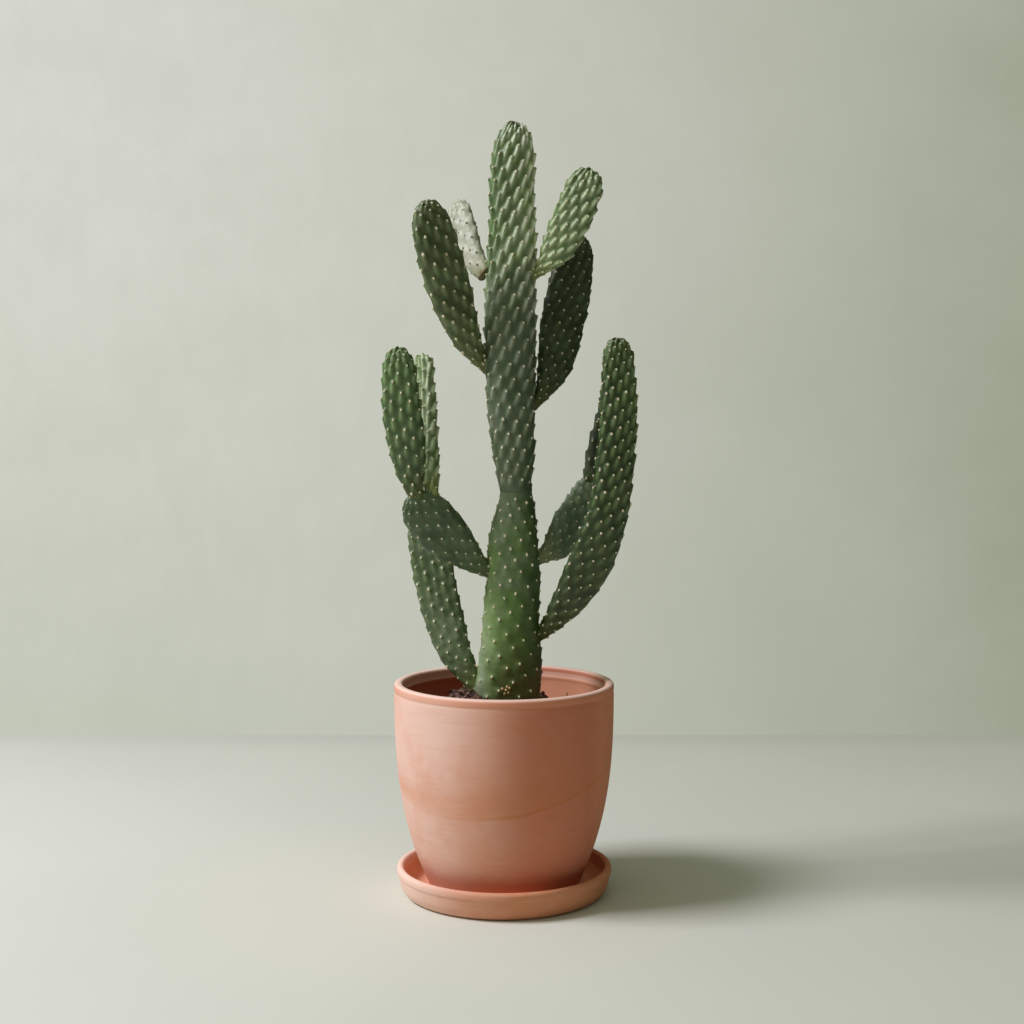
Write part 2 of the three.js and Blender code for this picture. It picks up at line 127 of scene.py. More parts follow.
# Points run from base to tip in millimetres, widths and depths are spread evenly along them, and tip is the
# share of the length at which the stem begins to round off. Turn is how far the broad face looks to the right
# of the viewer in degrees. Areoles stand in rows of columns round the stem. Tilt is how many rows a turn
# climbs, pitch is the room of a row at the base and at the tip, and spiral is how far the columns twist in
# turns. Ridge is a tubercle's height, length and width at the base and at the tip, and lean is how far it
# leans aside. Areole is a cushion's radius. Lumps is the height of the soft swellings. Calm_tip is the length
# at the tip that stays smooth. Knob is a swelling's place, and tufts are places of extra areoles. Tint is the
# colour against its kind of skin. Young is how much brighter the skin is at the tip, and over how many
# decimetres. A pair of lists, left and right, paints light, or shade below 0, on that side of the stem: how
# much brighter or darker its skin is painted there, the brighter side also a little greyer.
STEMS = [
    dict(name="trunk_lower", skin="old_trunk", turn=(0, 0), columns=14, tilt=6, pitch=(17.5, 13.2),
         spiral=-0.08,
         points=[(2, 0, 140), (4, 0, 185), (6.3, 0, 215), (8, 0, 286), (9.9, 0, 331), (10.9, 0, 366.3)],
         widths=[53, 56, 58, 57, 53.5, 50, 47.5, 45.5, 40.5, 28.4],
         depths=[40, 41, 42, 42, 41, 40, 38, 36, 31, 23.5],
         ridge=((1.4, 8, 3.0), (1.2, 9, 2.8)), areole=1.15, lumps=1.7, calm_tip=14,
         bloom_and_side_shading=((1.0, 1.0, 0.65, 0.8), (-1.0, -1.0, -1.0, -1.0)), knob=(-24, -7, 190),
         tufts=[(0.5, 185), (1.5, 188.5), (2.5, 191.5), (4.0, 186.5), (5.0, 190), (-1.0, 190)]),
    dict(name="trunk_upper", skin="trunk", turn=(0, -6), columns=10, tilt=-2, pitch=(12.5, 11.3), spiral=0.44,
         tip=0.895,
         points=[(10.9, 0, 365.9), (9.4, 0, 394), (6.5, -1, 439), (6, -1, 493), (6, 0, 547), (7, 0, 609),
                 (9, -1, 662), (10, -1, 695.6)],
         widths=[29, 37, 42, 45, 46, 45.5, 43.5, 41, 39, 37.5, 34.5],
         depths=[24, 28, 30, 32, 32, 31, 30, 29, 28, 27, 25],
         ridge=((1.8, 12, 2.4), (3.5, 18, 2.3)), lean=0.16, areole=1.0, lumps=0.9,
         young=(2.75, 2.0),
         bloom_and_side_shading=((0.2, 0.1, 0.1, -0.3, 0.0, -0.8, -1.0, -1.0, -0.5),
                (-1.0, -0.8, 0.15, 0.15, 0.65, 0.8, 0.8, 1.0, 0.6))),
    dict(name="pad_lower_left", skin="old_pad", turn=(-16, -12), columns=5.5, tilt=1, pitch=(8, 7), spiral=0,
         tip=0.84,
         points=[(-22.5, 0, 182.5), (-35.5, 6, 203.5), (-44, 10, 217), (-51, 14, 235), (-58, 18, 258.5),
                 (-63.5, 21, 283.5), (-75.5, 26, 344)],
         widths=[12, 19, 29, 34.5, 38, 39, 39, 38, 37, 36],
         depths=[11, 13, 14, 15, 15, 15, 15, 14, 14, 13],
         ridge=((1.2, 10, 2.6), (1.9, 11, 2.5)), areole=1.0, tint=(0.94, 1.03, 0.83),
         bloom_and_side_shading=((-0.3, -0.3), (0.3, 0.7))),
    dict(name="pad_mid_left", skin="blue_pad", turn=(-4, 6), columns=7.5, tilt=3, pitch=(9, 8.6), spiral=0,
         tip=0.74,
         points=[(-7, 1, 290), (-24, -5, 301.5), (-38, -10, 314), (-52, -15, 327.5), (-65, -19, 342),
                 (-85, -26, 363)],
         widths=[10, 14.5, 24, 34, 41, 43.5, 44, 43.5, 42], depths=[10, 12, 14, 15, 16, 16, 16, 15, 14],
         ridge=((0.9, 8, 2.5), (1.2, 8, 2.5)), areole=0.95, lumps=0.8, tint=(1.28, 1.36, 1.14)),
    dict(name="pad_left_front", skin="pad", turn=(-10, -10), columns=5.5, tilt=-1, pitch=(8.6, 7.8), spiral=0,
         tip=0.83,
         points=[(-75, -24, 356.5), (-80.3, -26, 374.5), (-83, -28, 388), (-85.6, -31, 408),
                 (-90.1, -36, 445.5), (-92.1, -41, 494.4)],
         widths=[11.5, 18, 27.5, 33, 34.5, 34.5, 33.5, 31.5, 29.5, 28.5],
         depths=[10, 12, 13, 14, 14, 14, 14, 13, 12],
         ridge=((1.5, 11, 2.5), (2.6, 13, 2.3)), lean=0.10, areole=1.0, tint=(0.67, 0.75, 0.60),
         young=(2.7, 1.2)),
    dict(name="pad_left_rear", skin="pad", turn=(-58, -52), columns=5, tilt=2, pitch=(9, 8), spiral=0.2,
         tip=0.86,
         points=[(-64, -20, 357), (-65.5, -13, 386.5), (-67.5, -8, 413.5), (-72, 2, 462.5), (-74, 8, 489.8)],
         widths=[14, 16, 18.5, 21, 23, 24.5, 25.5, 26.5, 27], depths=[10, 11, 12, 12, 12, 12, 12, 12, 11],
         ridge=((2.2, 14, 2.3), (3.0, 15, 2.2)), lean=0.14, areole=0.95, tint=(2.05, 2.0, 2.0)),
    dict(name="pad_upper_left", skin="dark_pad", turn=(24, 20), columns=7.5, tilt=3, pitch=(11, 10.6),
         spiral=-0.16, tip=0.82,
         points=[(-14, 4, 475), (-27, -6, 493), (-36, -12, 510), (-43.5, -19, 532), (-56.5, -34, 576),
                 (-67.5, -41, 621)],
         widths=[10, 16, 26, 33, 38.5, 41, 40.5, 38.5, 36, 35],
         depths=[10, 12, 14, 15, 15, 15, 15, 14, 14, 13],
         ridge=((1.4, 12, 2.5), (2.0, 13, 2.4)), areole=1.25, tint=(1.98, 1.88, 1.72)),
    dict(name="pad_upper_left_rear", skin="pale_pad", turn=(-40, -36), columns=5, tilt=2, pitch=(9, 8),
         spiral=0, tip=0.8,
         points=[(-17, 2, 560.5), (-27.5, 14, 577), (-33, 24, 592), (-37.5, 34, 607), (-43.5, 50, 630.6)],
         widths=[15, 20, 23.5, 25.5, 26.5, 26.5, 26, 25], depths=[9, 11, 12, 12, 12, 12, 11, 11],
         ridge=((1.2, 9, 2.5), (1.7, 10, 2.4)), areole=1.0, felt="grey", tint=(0.93, 0.91, 0.86)),
    dict(name="pad_upper_right", skin="young_pad", turn=(-16, -14), columns=7, tilt=-2, pitch=(8.6, 8.2),
         spiral=0.21, tip=0.8,
         points=[(24, 0, 556.5), (39.5, -9, 572), (47.5, -14, 583.5), (55, -19, 597.5), (68, -28, 627),
                 (75, -32, 650)],
         widths=[7, 10, 20.5, 29, 33, 34.5, 34.5, 33, 32.5, 32], depths=[9, 11, 13, 14, 14, 14, 14, 13, 12],
         ridge=((2.1, 13, 2.3), (3.0, 14, 2.2)), lean=0.12, areole=0.95, tint=(1.07, 1.10, 0.98)),
    dict(name="pad_upper_right_rear", skin="dark_pad", turn=(28, 24), columns=6, tilt=0, pitch=(6.9, 6.6),
         spiral=0.52, tip=0.82,
         points=[(25.5, 0, 441), (37.5, 10, 460.5), (44.5, 16, 477), (49.5, 22, 495.5), (53, 28, 515),
                 (61.5, 39, 559), (68.5, 47, 601.5)],
         widths=[7, 16, 29.5, 38, 42.5, 43.5, 43, 41.5, 40, 38.5],
         depths=[10, 12, 14, 15, 15, 15, 15, 14, 14, 13],
         ridge=((1.1, 10, 2.5), (1.5, 11, 2.4)), areole=0.95, tint=(1.0, 1.04, 0.94), young=(0.66, 1.2),
         bloom_and_side_shading=((-0.4, -0.5), (0.1, 0.1))),
    dict(name="pad_mid_right", skin="blue_pad", turn=(18, 24), columns=7, tilt=2, pitch=(7.8, 7.4),
         spiral=-0.21, tip=0.78,
         points=[(27, 3, 301.5), (47.5, 13, 315.5), (60.5, 21, 332), (71, 29, 346), (77.5, 34, 359),
                 (81.5, 38, 377.5)],
         widths=[9.5, 14.5, 27, 34, 39, 40, 38, 36, 35], depths=[9, 11, 13, 14, 14, 14, 14, 14, 13],
         ridge=((1.1, 8, 2.5), (1.6, 9, 2.4)), areole=0.95, tint=(2.45, 2.35, 2.5)),
    dict(name="pad_mid_right_tip", skin="dark_pad", turn=(66, 62), columns=5, tilt=2, pitch=(9, 8), spiral=0,
         tip=0.84,
         points=[(77, 36, 362), (84.5, 41, 398), (93.5, 44, 430), (100.5, 46, 463), (104, 48, 495.2)],
         widths=[13, 19, 25, 29, 30, 30, 29, 28, 27], depths=[11, 12, 13, 13, 13, 13, 12, 12, 11],
         ridge=((1.7, 12, 2.5), (2.2, 13, 2.4)), areole=0.95, tint=(1.0, 1.0, 1.1)),
    dict(name="pad_right", skin="pad", turn=(14, 10), columns=6.5, tilt=-3, pitch=(8.3, 7.8), spiral=0.75,
         tip=0.935,
         points=[(28, 2, 231.5), (46, -7, 251), (57.5, -12, 267), (68.5, -16, 286), (78.5, -20, 305.5),
                 (86.5, -24, 328.5), (92.7, -26, 351), (100.3, -30, 412.5), (100.7, -31, 455),
                 (100, -30, 503)],
         widths=[9.5, 16, 28, 35.5, 40, 40.5, 38.5, 36.5, 35.5, 35, 34, 33, 31, 28, 25],
         depths=[10, 12, 14, 15, 15, 15, 15, 15, 14, 14, 14, 14, 13, 13, 12],
         ridge=((1.3, 10, 2.6), (2.3, 13, 2.4)), areole=1.0, tint=(0.62, 0.69, 0.48), young=(1.75, 0.95),
         bloom_and_side_shading=((0, -0.2, -0.4, -0.5, -0.3, 0.3), (0, -0.2, -0.3, -0.3, 0.4, 0.2))),
]

# Skins: fresh green, deep green, wax, how much wax on the flat, and how much of it on the ridges, where it
# also stands for a painted highlight
SKINS = {
    "old_trunk": ((0.134, 0.248, 0.038), (0.050, 0.096, 0.021), (0.270, 0.330, 0.190), 0.22, 0.25),
    "trunk": ((0.188, 0.266, 0.090), (0.056, 0.084, 0.032), (0.680, 0.720, 0.580), 0.14, 1.00),
    "old_pad": ((0.130, 0.175, 0.075), (0.055, 0.080, 0.038), (0.280, 0.320, 0.220), 0.35, 0.45),
    "blue_pad": ((0.085, 0.125, 0.064), (0.044, 0.066, 0.036), (0.220, 0.270, 0.190), 0.35, 0.40),
    "pad": ((0.120, 0.180, 0.066), (0.042, 0.068, 0.026), (0.420, 0.480, 0.320), 0.20, 0.80),
    "dark_pad": ((0.076, 0.110, 0.042), (0.028, 0.042, 0.017), (0.200, 0.250, 0.150), 0.22, 0.40),
    "young_pad": ((0.200, 0.285, 0.110), (0.075, 0.125, 0.042), (0.620, 0.680, 0.480), 0.22, 1.00),
    "pale_pad": ((0.530, 0.550, 0.440), (0.310, 0.340, 0.250), (0.680, 0.690, 0.600), 0.60, 0.50),
}

# What some kinds of skin have otherwise than the rest, and the foot's colour against the fresh green
SKIN_CHANGES = {
    "old_trunk": {"Foot": (0.12, 0.10, 0.04), "Foot reach": 1.15, "Aged from tip": 1.3, "Aged on bloom": 0.5,
                  "Trough shade": 0.3, "Cork": (0.130, 0.165, 0.090), "Cork share": 0.0},
    "trunk": {"Foot reach": 0.001, "Aged from base": 3.0, "Cork": (0.130, 0.165, 0.090), "Cork share": 0.0},
    "pale_pad": {"Foot": (0.30, 0.33, 0.15), "Foot reach": 0.22},
}
FOOT_TINT = (1.25, 1.0, 0.6)

# Old skin in its darker and lighter tone, in the painted shade of its troughs and under its film, and how far
# painted light and shade on a side take the colour up or down
OLD_SHADE, OLD_LIGHT, OLD_TROUGH_SHADE = (0.058, 0.094, 0.038), (0.175, 0.226, 0.122), (0.045, 0.072, 0.032)
OLD_FILM = (0.275, 0.318, 0.225)
SIDE_LIGHT_GAIN, SIDE_SHADE_GAIN = (2.0, 1.8, 2.2), (0.50, 0.60, 0.45)

# Length of each stem, in millimetres, that lies inside the stem or mix that bears it
BASE_COVER = {
    "trunk_lower": 33, "trunk_upper": 1, "pad_lower_left": 7, "pad_mid_left": 9, "pad_left_front": 6,
    "pad_left_rear": 5, "pad_upper_left": 5, "pad_upper_left_rear": 4, "pad_upper_right": 5,
    "pad_upper_right_rear": 6, "pad_mid_right": 7, "pad_mid_right_tip": 7, "pad_right": 8,
}

# Colours of the felt and of the bristles: shade and light
FELTS = {"tan": ((0.54, 0.44, 0.28), (0.97, 0.92, 0.68)), "grey": ((0.11, 0.10, 0.07), (0.24, 0.22, 0.16))}
BRISTLES = (0.52, 0.34, 0.13), (0.82, 0.64, 0.34)

# Colours of the backdrop, painted lit on the left and shaded on the right and at its foot, of its light and of
# the large soft light, with their places
WALL_PAINTED_LIT, WALL_PAINTED_SHADE, WALL_PAINTED_FOOT_SHADE = (0.690, 0.700, 0.630), (0.335, 0.358, 0.270), (0.77, 0.80, 0.735)
WALL_CLOUD, WALL_BLOT, WALL_WEAVE = (0.60, 0.62, 0.545), (0.42, 0.45, 0.36), (0.36, 0.385, 0.31)
FILL_FROM, FILL_TINT = (-0.40, -0.22, 0.89), (0.93, 1.0, 0.76)
KEY_PLACE, KEY_TARGET = (-1.67, -0.355, 2.03), (0.0, 0.0, 0.2)
KEY_SIZE, KEY_TINT = 0.85, (0.94, 0.91, 1.0)


def clamp(value, low, high):
    """The value, or the end of the range that it passes."""
    return max(low, min(high, value))


def smooth(value, low, high):
    """0 below the range, 1 above it, and a soft rise between."""
    t = np.clip((np.asarray(value, float) - low) / (high - low), 0, 1)
    return t * t * (3 - 2 * t)


def unit(v):
    """A direction of length 1."""
    return v / np.maximum(np.linalg.norm(v, axis=-1, keepdims=True), 1e-9)


def boxed(value, power):
    """A cosine or sine that makes a round section boxy."""
    return np.sign(value) * np.abs(value) ** (2 / power)


def along(sizes, u):
    """Smooth value along a list of evenly spaced sizes."""
    sizes = np.asarray(sizes, float)
    last = len(sizes) - 1
    place = np.clip(u, 0, 1) * last
    first = np.minimum(np.floor(place).astype(int), last - 1)
    t = place - first
    before, start, end, after = (sizes[np.clip(first + k, 0, last)] for k in (-1, 0, 1, 2))
    pull, leave, drop = end - before, after - start, start - end
    square, cube = -3 * drop - pull - leave / 2, 2 * drop + pull / 2 + leave / 2
    return start + t * pull / 2 + t ** 2 * square + t ** 3 * cube


def tip_round(u, start):
    """Share of the size that is left where a stem rounds off beyond the start."""
    if start is None:
        return np.ones_like(np.asarray(u, float))
    beyond = np.clip((np.asarray(u, float) - start) / (1 - start), 0, 1)
    return np.sqrt(1 - beyond ** 2)


def curve_through(points, steps=40):
    """A fine line through the points, as a centripetal Catmull-Rom spline."""
    p = np.asarray(points, float)
    p = np.vstack([2 * p[0] - p[1], p, 2 * p[-1] - p[-2]])
    line = []
    for k in range(1, len(p) - 2):
        before, start, end, after = p[k - 1:k + 3]
        pairs = ((before, start), (start, end), (end, after))
        d0, d1, d2 = (max(np.linalg.norm(b - a) ** 0.5, 1e-6) for a, b in pairs)
        leave = ((start - before) / d0 - (end - before) / (d0 + d1) + (end - start) / d1) * d1
        arrive = ((end - start) / d1 - (after - start) / (d1 + d2) + (after - end) / d2) * d1
        t = np.linspace(0, 1, steps, endpoint=False)[:, None]
        square = -3 * start + 3 * end - 2 * leave - arrive
        cube = 2 * start - 2 * end + leave + arrive
        line.append(start + leave * t + square * t ** 2 + cube * t ** 3)
    line.append(p[-2][None, :])
    return np.vstack(line)


def ripple(points, length, seed, count=8):
    """Soft lumps of about the given length, between about -1 and 1, alike at every run."""
    draw = np.random.default_rng(seed)
    ways = unit(draw.normal(size=(count, 3))) * 2 * math.pi / (length * draw.uniform(0.7, 1.6, (count, 1)))
    return np.sin(points @ ways.T + draw.uniform(0, 2 * math.pi, count)).sum(-1) / math.sqrt(count) / 1.4


class Stem:
    """A trunk segment or pad: its skin as a fine grid, and the places of its areoles."""

    def __init__(self, spec, seed):
        self.spec, self.seed = spec, seed
        self.tip, self.columns, self.tilt = spec.get("tip"), spec["columns"], spec["tilt"]
        self.trunk = spec["name"].startswith("trunk")
        self.power = TRUNK_POWER if self.trunk else PAD_POWER
        self.line = curve_through(spec["points"])
        steps = np.linalg.norm(np.diff(self.line, axis=0), axis=1)
        self.lengths = np.concatenate([[0], np.cumsum(steps)])
        self.length = self.lengths[-1]
        self.shares = np.linspace(0, 1, LENGTH_SAMPLES + 1)
        middle = (self.shares[1:] + self.shares[:-1]) / 2
        self.count = np.concatenate([[0], np.cumsum(self.length / LENGTH_SAMPLES / self.row_gap(middle))])
        draw = np.random.default_rng(seed)
        self.shift_row = draw.uniform(-0.10, 0.10, (ROUGH_ROWS, ROUGH_COLUMNS))
        self.shift_column = draw.uniform(-0.08, 0.08, (ROUGH_ROWS, ROUGH_COLUMNS))
        self.vigour = draw.uniform(0.8, 1.15, (ROUGH_ROWS, ROUGH_COLUMNS))
        self.grow_skin()

    def row_gap(self, u):
        """Room of one row of areoles, in millimetres, less near the tip."""
        start, end = self.spec["pitch"]
        crowd = 1.0
        if self.tip is not None:
            crowd = CROWD_TIP + (1 - CROWD_TIP) * smooth((1 - u) * self.length, 0, CROWD_REACH)
        return (start + (end - start) * u) * crowd

    def places(self):
        """Shares of the length at which the skin's rings lie, by even steps over the skin."""
        if self.tip is None:
            return np.linspace(0, 1, math.ceil(self.length / FINE) + 1)
        body = np.linspace(0, self.tip, math.ceil(self.length * self.tip / FINE) + 1)
        cap, half = (1 - self.tip) * self.length, self.spec["widths"][-1] / 2
        steps = math.ceil(math.pi / 2 * math.hypot(cap, half) / math.sqrt(2) / FINE)
        bend = np.append(np.linspace(0, math.pi / 2, steps + 1)[1:-1], LAST_BEND * math.pi / 2)
        return np.concatenate([body, self.tip + (1 - self.tip) * np.sin(bend)])

    def middle_at(self, s):
        """Point of the middle line at a length."""
        s = clamp(s, 0, self.length)
        return np.array([np.interp(s, self.lengths, self.line[:, k]) for k in range(3)])

    def section(self, u, columns):
        """Points of the plain skin at one share of the length, and the way round it."""
        s = u * self.length
        heading = unit(self.middle_at(s + 0.75) - self.middle_at(s - 0.75))
        if self.trunk:
            joint = min(s, self.length - s) if self.tip is None else s
            heading = unit(heading + (np.array([0, 0, 1.0]) - heading) * (1 - smooth(joint, 0, JOINT_REACH)))
        start, end = self.spec["turn"]
        turn = math.radians(start + (end - start) * u)
        face = np.array([math.sin(turn), -math.cos(turn), 0.0])
        face = unit(face - face.dot(heading) * heading)
        side = np.cross(face, heading)
        deep_start = self.tip and max(self.tip, 1 - self.spec["depths"][-1] / self.length)
        half = max(float(along(self.spec["widths"], u)) / 2 * float(tip_round(u, self.tip)), 0.02)
        deep = max(float(along(self.spec["depths"], u)) / 2 * float(tip_round(u, deep_start)), 0.02)
        spread = np.linspace(0, 2 * math.pi, RING_SAMPLES + 1)
        xs, ys = half * boxed(np.cos(spread), self.power), deep * boxed(np.sin(spread), self.power)
        run = np.concatenate([[0], np.cumsum(np.hypot(np.diff(xs), np.diff(ys)))])
        wanted = np.mod(columns / self.columns + self.spec["spiral"] * u, 1) * run[-1]
        x, y = np.interp(wanted, run, xs), np.interp(wanted, run, ys)
        return self.middle_at(s) + side * x[:, None] + face * y[:, None], run[-1]

    def relief(self, rows, columns, u, girth):
        """How far the skin is raised into tubercles, how near an areole is, the crest streaks on each ridge's
        left flank where wax and a highlight are painted, and the height.
        """
        base, tip = self.spec["ridge"]
        younger = smooth(u, OLD_UNTIL, YOUNG_FROM)
        height, length, width = (a + (b - a) * younger for a, b in zip(base, tip))
        column_gap, row_gap = girth / self.columns, self.row_gap(u)
        shrink = np.clip(column_gap / 9, 0.25, 1)
        reach = length * np.clip(row_gap / (0.8 * self.spec["pitch"][1]), 0.4, 1)
        raised, near, crest_highlight = (np.zeros(np.broadcast(rows, columns).shape) for _ in range(3))
        climb, lean = self.tilt / self.columns, self.spec.get("lean", 0.0)
        for step in range(-1, 4):
            m = np.floor(rows - climb * columns - 0.5) + step
            stagger = np.where(np.mod(m, 2) == 0, 0.5, 0.0)
            column = np.round(columns - stagger) + stagger
            row = m + 0.5 + climb * column
            turns = np.floor(column / self.columns + 1e-6)
            own_m = m + self.tilt * turns
            own_k = np.round(column - turns * self.columns - np.where(np.mod(own_m, 2) == 0, 0.5, 0.0))
            index = np.mod(own_m, ROUGH_ROWS).astype(int), np.mod(own_k, ROUGH_COLUMNS).astype(int)
            x = (columns - column - self.shift_column[index]) * column_gap
            y = (rows - row - self.shift_row[index]) * row_gap
            aside = x - lean * np.minimum(y, 0)
            below = np.clip(-y / reach, 0, 1)
            above = np.exp(-(np.maximum(y, 0) / (0.8 + 0.3 * width * shrink)) ** 2)
            ridge = np.where(y < 0, 1 - below ** 1.3, above)
            spread = width * shrink * (0.85 + 0.45 * below)
            grown = (row > FIRST_ROW) & (row < self.count[-1] - LAST_ROOM)
            bump = grown * self.vigour[index] * ridge * np.exp(-(aside / spread) ** 2)
            raised += bump ** 3
            near = np.maximum(near, grown * np.exp(-((x / 1.7) ** 2 + (y / 2.0) ** 2)))
            # Crest streak on the left flank of each ridge, which carries wax and a painted highlight
            line = np.exp(-((aside + 0.2 * width) / (0.62 * spread)) ** 2) * smooth(-y, 0.3, 2.5)
            crest_highlight = np.maximum(crest_highlight, grown * line * (1 - smooth(below, 0.45, 0.95)))
        return np.minimum(raised ** (1 / 3), 1.12), near, crest_highlight, height

    def grow_skin(self):
        """Fills the grid: points in millimetres, outward directions, tones, crest streaks with their painted
        highlight, and painted light and shade by side.
        """
        self.us = self.places()
        girths = [self.section(u, np.zeros(1))[1] for u in self.us[::8]]
        self.around = math.ceil(max(girths) / FINE)
        columns = np.arange(self.around) / self.around * self.columns
        rings = [self.section(u, columns) for u in self.us]
        plain = np.stack([ring[0] for ring in rings])
        girth = np.array([[ring[1]] for ring in rings])
        u = self.us[:, None]
        rows = np.interp(self.us, self.shares, self.count)[:, None]
        up = unit(np.gradient(plain, axis=0))
        side = np.roll(plain, -1, 1) - np.roll(plain, 1, 1)
        self.normals = unit(np.cross(side, up))
        raised, near, crest_highlight, height = self.relief(rows, columns[None, :], u, girth)
        from_base, from_tip = u * self.length, (1 - u) * self.length
        joint = smooth(from_tip, 0, self.spec["calm_tip"]) if "calm_tip" in self.spec else 1.0
        fade = np.minimum(1, tip_round(u, self.tip) + 0.45) * smooth(from_base, 1, 14) * joint
        if self.spec["name"] == "trunk_lower":
            fade = fade * smooth(plain[..., 2], BARE_FOOT, GROWN_FOOT)
        calm = np.minimum(1, tip_round(u, self.tip) + 0.2) * smooth(from_base, 0, 10) * joint
        swell = self.spec.get("lumps", 0.45) * ripple(plain, LUMP_LENGTH, self.seed)
        swell += DIMPLE_HEIGHT * ripple(plain, DIMPLE_LENGTH, self.seed + 1)
        if "knob" in self.spec:
            swell += KNOB_LIFT * np.exp(-(((plain - self.spec["knob"]) / KNOB_SIZE) ** 2).sum(-1))
        lift = height * fade * (raised - RIDGE_SINK) + calm * swell
        self.points = plain + self.normals * lift[..., None]
        shape = np.ones_like(raised)
        decimetres = from_base / 100 * shape, from_tip / 100 * shape
        self.tones = np.stack([raised * fade, near * (fade > 0.3), *decimetres], -1)
        self.crest_highlight = crest_highlight * fade * np.minimum(1, height / 2.6)
        # Painted light and shade by side: how much brighter, or darker below 0, the skin is painted from the
        # middle out to each side
        across = plain[..., 0] - plain[..., 0].mean(axis=1, keepdims=True)
        across /= np.abs(across).max(axis=1, keepdims=True)
        left, right = (along(side, u) for side in self.spec.get("bloom_and_side_shading", ((0, 0), (0, 0))))
        self.bloom_and_side_shading = np.where(across < 0, -across * left, across * right)

    def tufts(self):
        """Places of the extra areoles that crowd together on the front of an old stem."""
        front = np.where(self.points[..., 1] > 0, 1000.0, 0.0)
        for x, z in self.spec.get("tufts", ()):
            away = np.hypot(self.points[..., 0] - x, self.points[..., 2] - z) + front
            i, j = np.unravel_index(np.argmin(away), away.shape)
            yield self.points[i, j], self.normals[i, j], unit(self.points[i + 1, j] - self.points[i, j])

    def between(self, grid, i, j):
        """Value of a grid at a place between its rings, and between the points of a ring."""
        low, here = min(int(i), len(self.us) - 2), math.floor(j) % self.around
        there = (here + 1) % self.around
        part, share = i - low, j - math.floor(j)
        lower = (1 - share) * grid[low, here] + share * grid[low, there]
        upper = (1 - share) * grid[low + 1, here] + share * grid[low + 1, there]
        return (1 - part) * lower + part * upper

    def areoles(self):
        """Place, outward direction, heading, vigour and share of the length of each areole."""
        climb = self.tilt / self.columns
        for m in range(-12, int(self.count[-1]) + 14):
            stagger = 0.5 if m % 2 == 0 else 0.0
            for k in range(math.ceil(self.columns - stagger - 1e-6)):
                row = m + 0.5 + climb * (k + stagger)
                if not FIRST_ROW < row < self.count[-1] - LAST_ROOM:
                    continue
                rough = m % ROUGH_ROWS, k
                u = np.interp(row + self.shift_row[rough], self.count, self.shares)
                i = np.interp(u, self.us, np.arange(len(self.us)))
                j = (k + stagger + self.shift_column[rough]) / self.columns * self.around
                low, here = min(int(i), len(self.us) - 2), math.floor(j) % self.around
                heading = unit(self.points[low + 1, here] - self.points[low, here])
                normal = unit(self.between(self.normals, i, j))
                yield self.between(self.points, i, j), normal, heading, self.vigour[rough], u


def mesh_object(name, vertices, faces, material, smooth_shade=True):
    """A new piece of its vertices in metres, with one material or a list of them."""
    mesh = bpy.data.meshes.new(name)
    mesh.from_pydata(np.asarray(vertices).tolist(), [], faces)
    if smooth_shade:
        mesh.polygons.foreach_set("use_smooth", [True] * len(mesh.polygons))
    piece = bpy.data.objects.new(name, mesh)
    bpy.context.scene.collection.objects.link(piece)
    for entry in material if isinstance(material, (list, tuple)) else [material]:
        mesh.materials.append(entry)
    mesh.validate()
    mesh.update()
    return piece


def stand_for(piece, slot_name, *nodes):
    """Lets a piece ride the one body, in the place of its nodes. Its slot name is not used."""
    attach(piece, BODY)
    if nodes:
        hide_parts(*nodes)


def belt(low, high, sides):
    """Faces between two rings of vertices, by the number of their first vertex."""
    return [(low + k, low + (k + 1) % sides, high + (k + 1) % sides, high + k) for k in range(sides)]


def closed_grid(rings, around, foot, tip):
    """Faces of a tube of rings, closed by one point at each end."""
    faces = []
    for i in range(rings - 1):
        faces += belt(i * around, (i + 1) * around, around)
    top = (rings - 1) * around
    for j in range(around):
        n = (j + 1) % around
        faces.append((foot, n, j))
        faces.append((tip, top + j, top + n))
    return faces


def build_stem(stem, material):
    """Fine skin of one stem, with its tones, crest streaks with their painted highlight, and painted light and
    shade by side kept on the vertices.
    """
    foot, tip = stem.line[0], stem.line[-1]
    vertices = np.vstack([stem.points.reshape(-1, 3), foot[None, :], tip[None, :]]) * MM
    ends = np.array([[0, 0, 0, stem.length / 100], [0.5, 0, stem.length / 100, 0]])
    tones = np.vstack([stem.tones.reshape(-1, 4), ends]).astype(np.float32)
    count = len(stem.us) * stem.around
    piece = mesh_object(stem.spec["name"] + "_skin", vertices,
                        closed_grid(len(stem.us), stem.around, count, count + 1), material)
    tone = piece.data.color_attributes.new(name="tone", type="FLOAT_COLOR", domain="POINT")
    tone.data.foreach_set("color", tones.ravel())
    for name, values in (("crest_highlight", stem.crest_highlight), ("bloom_and_side_shading", stem.bloom_and_side_shading)):
        own = piece.data.attributes.new(name=name, type="FLOAT", domain="POINT")
        own.data.foreach_set("value", np.append(values.ravel(), [0, 0]).astype(np.float32))
    sides = (len(stem.us) - 1) * stem.around
    shaded_round = [True] * sides + [False, stem.tip is not None] * stem.around
    piece.data.polygons.foreach_set("use_smooth", shaded_round)
    return piece


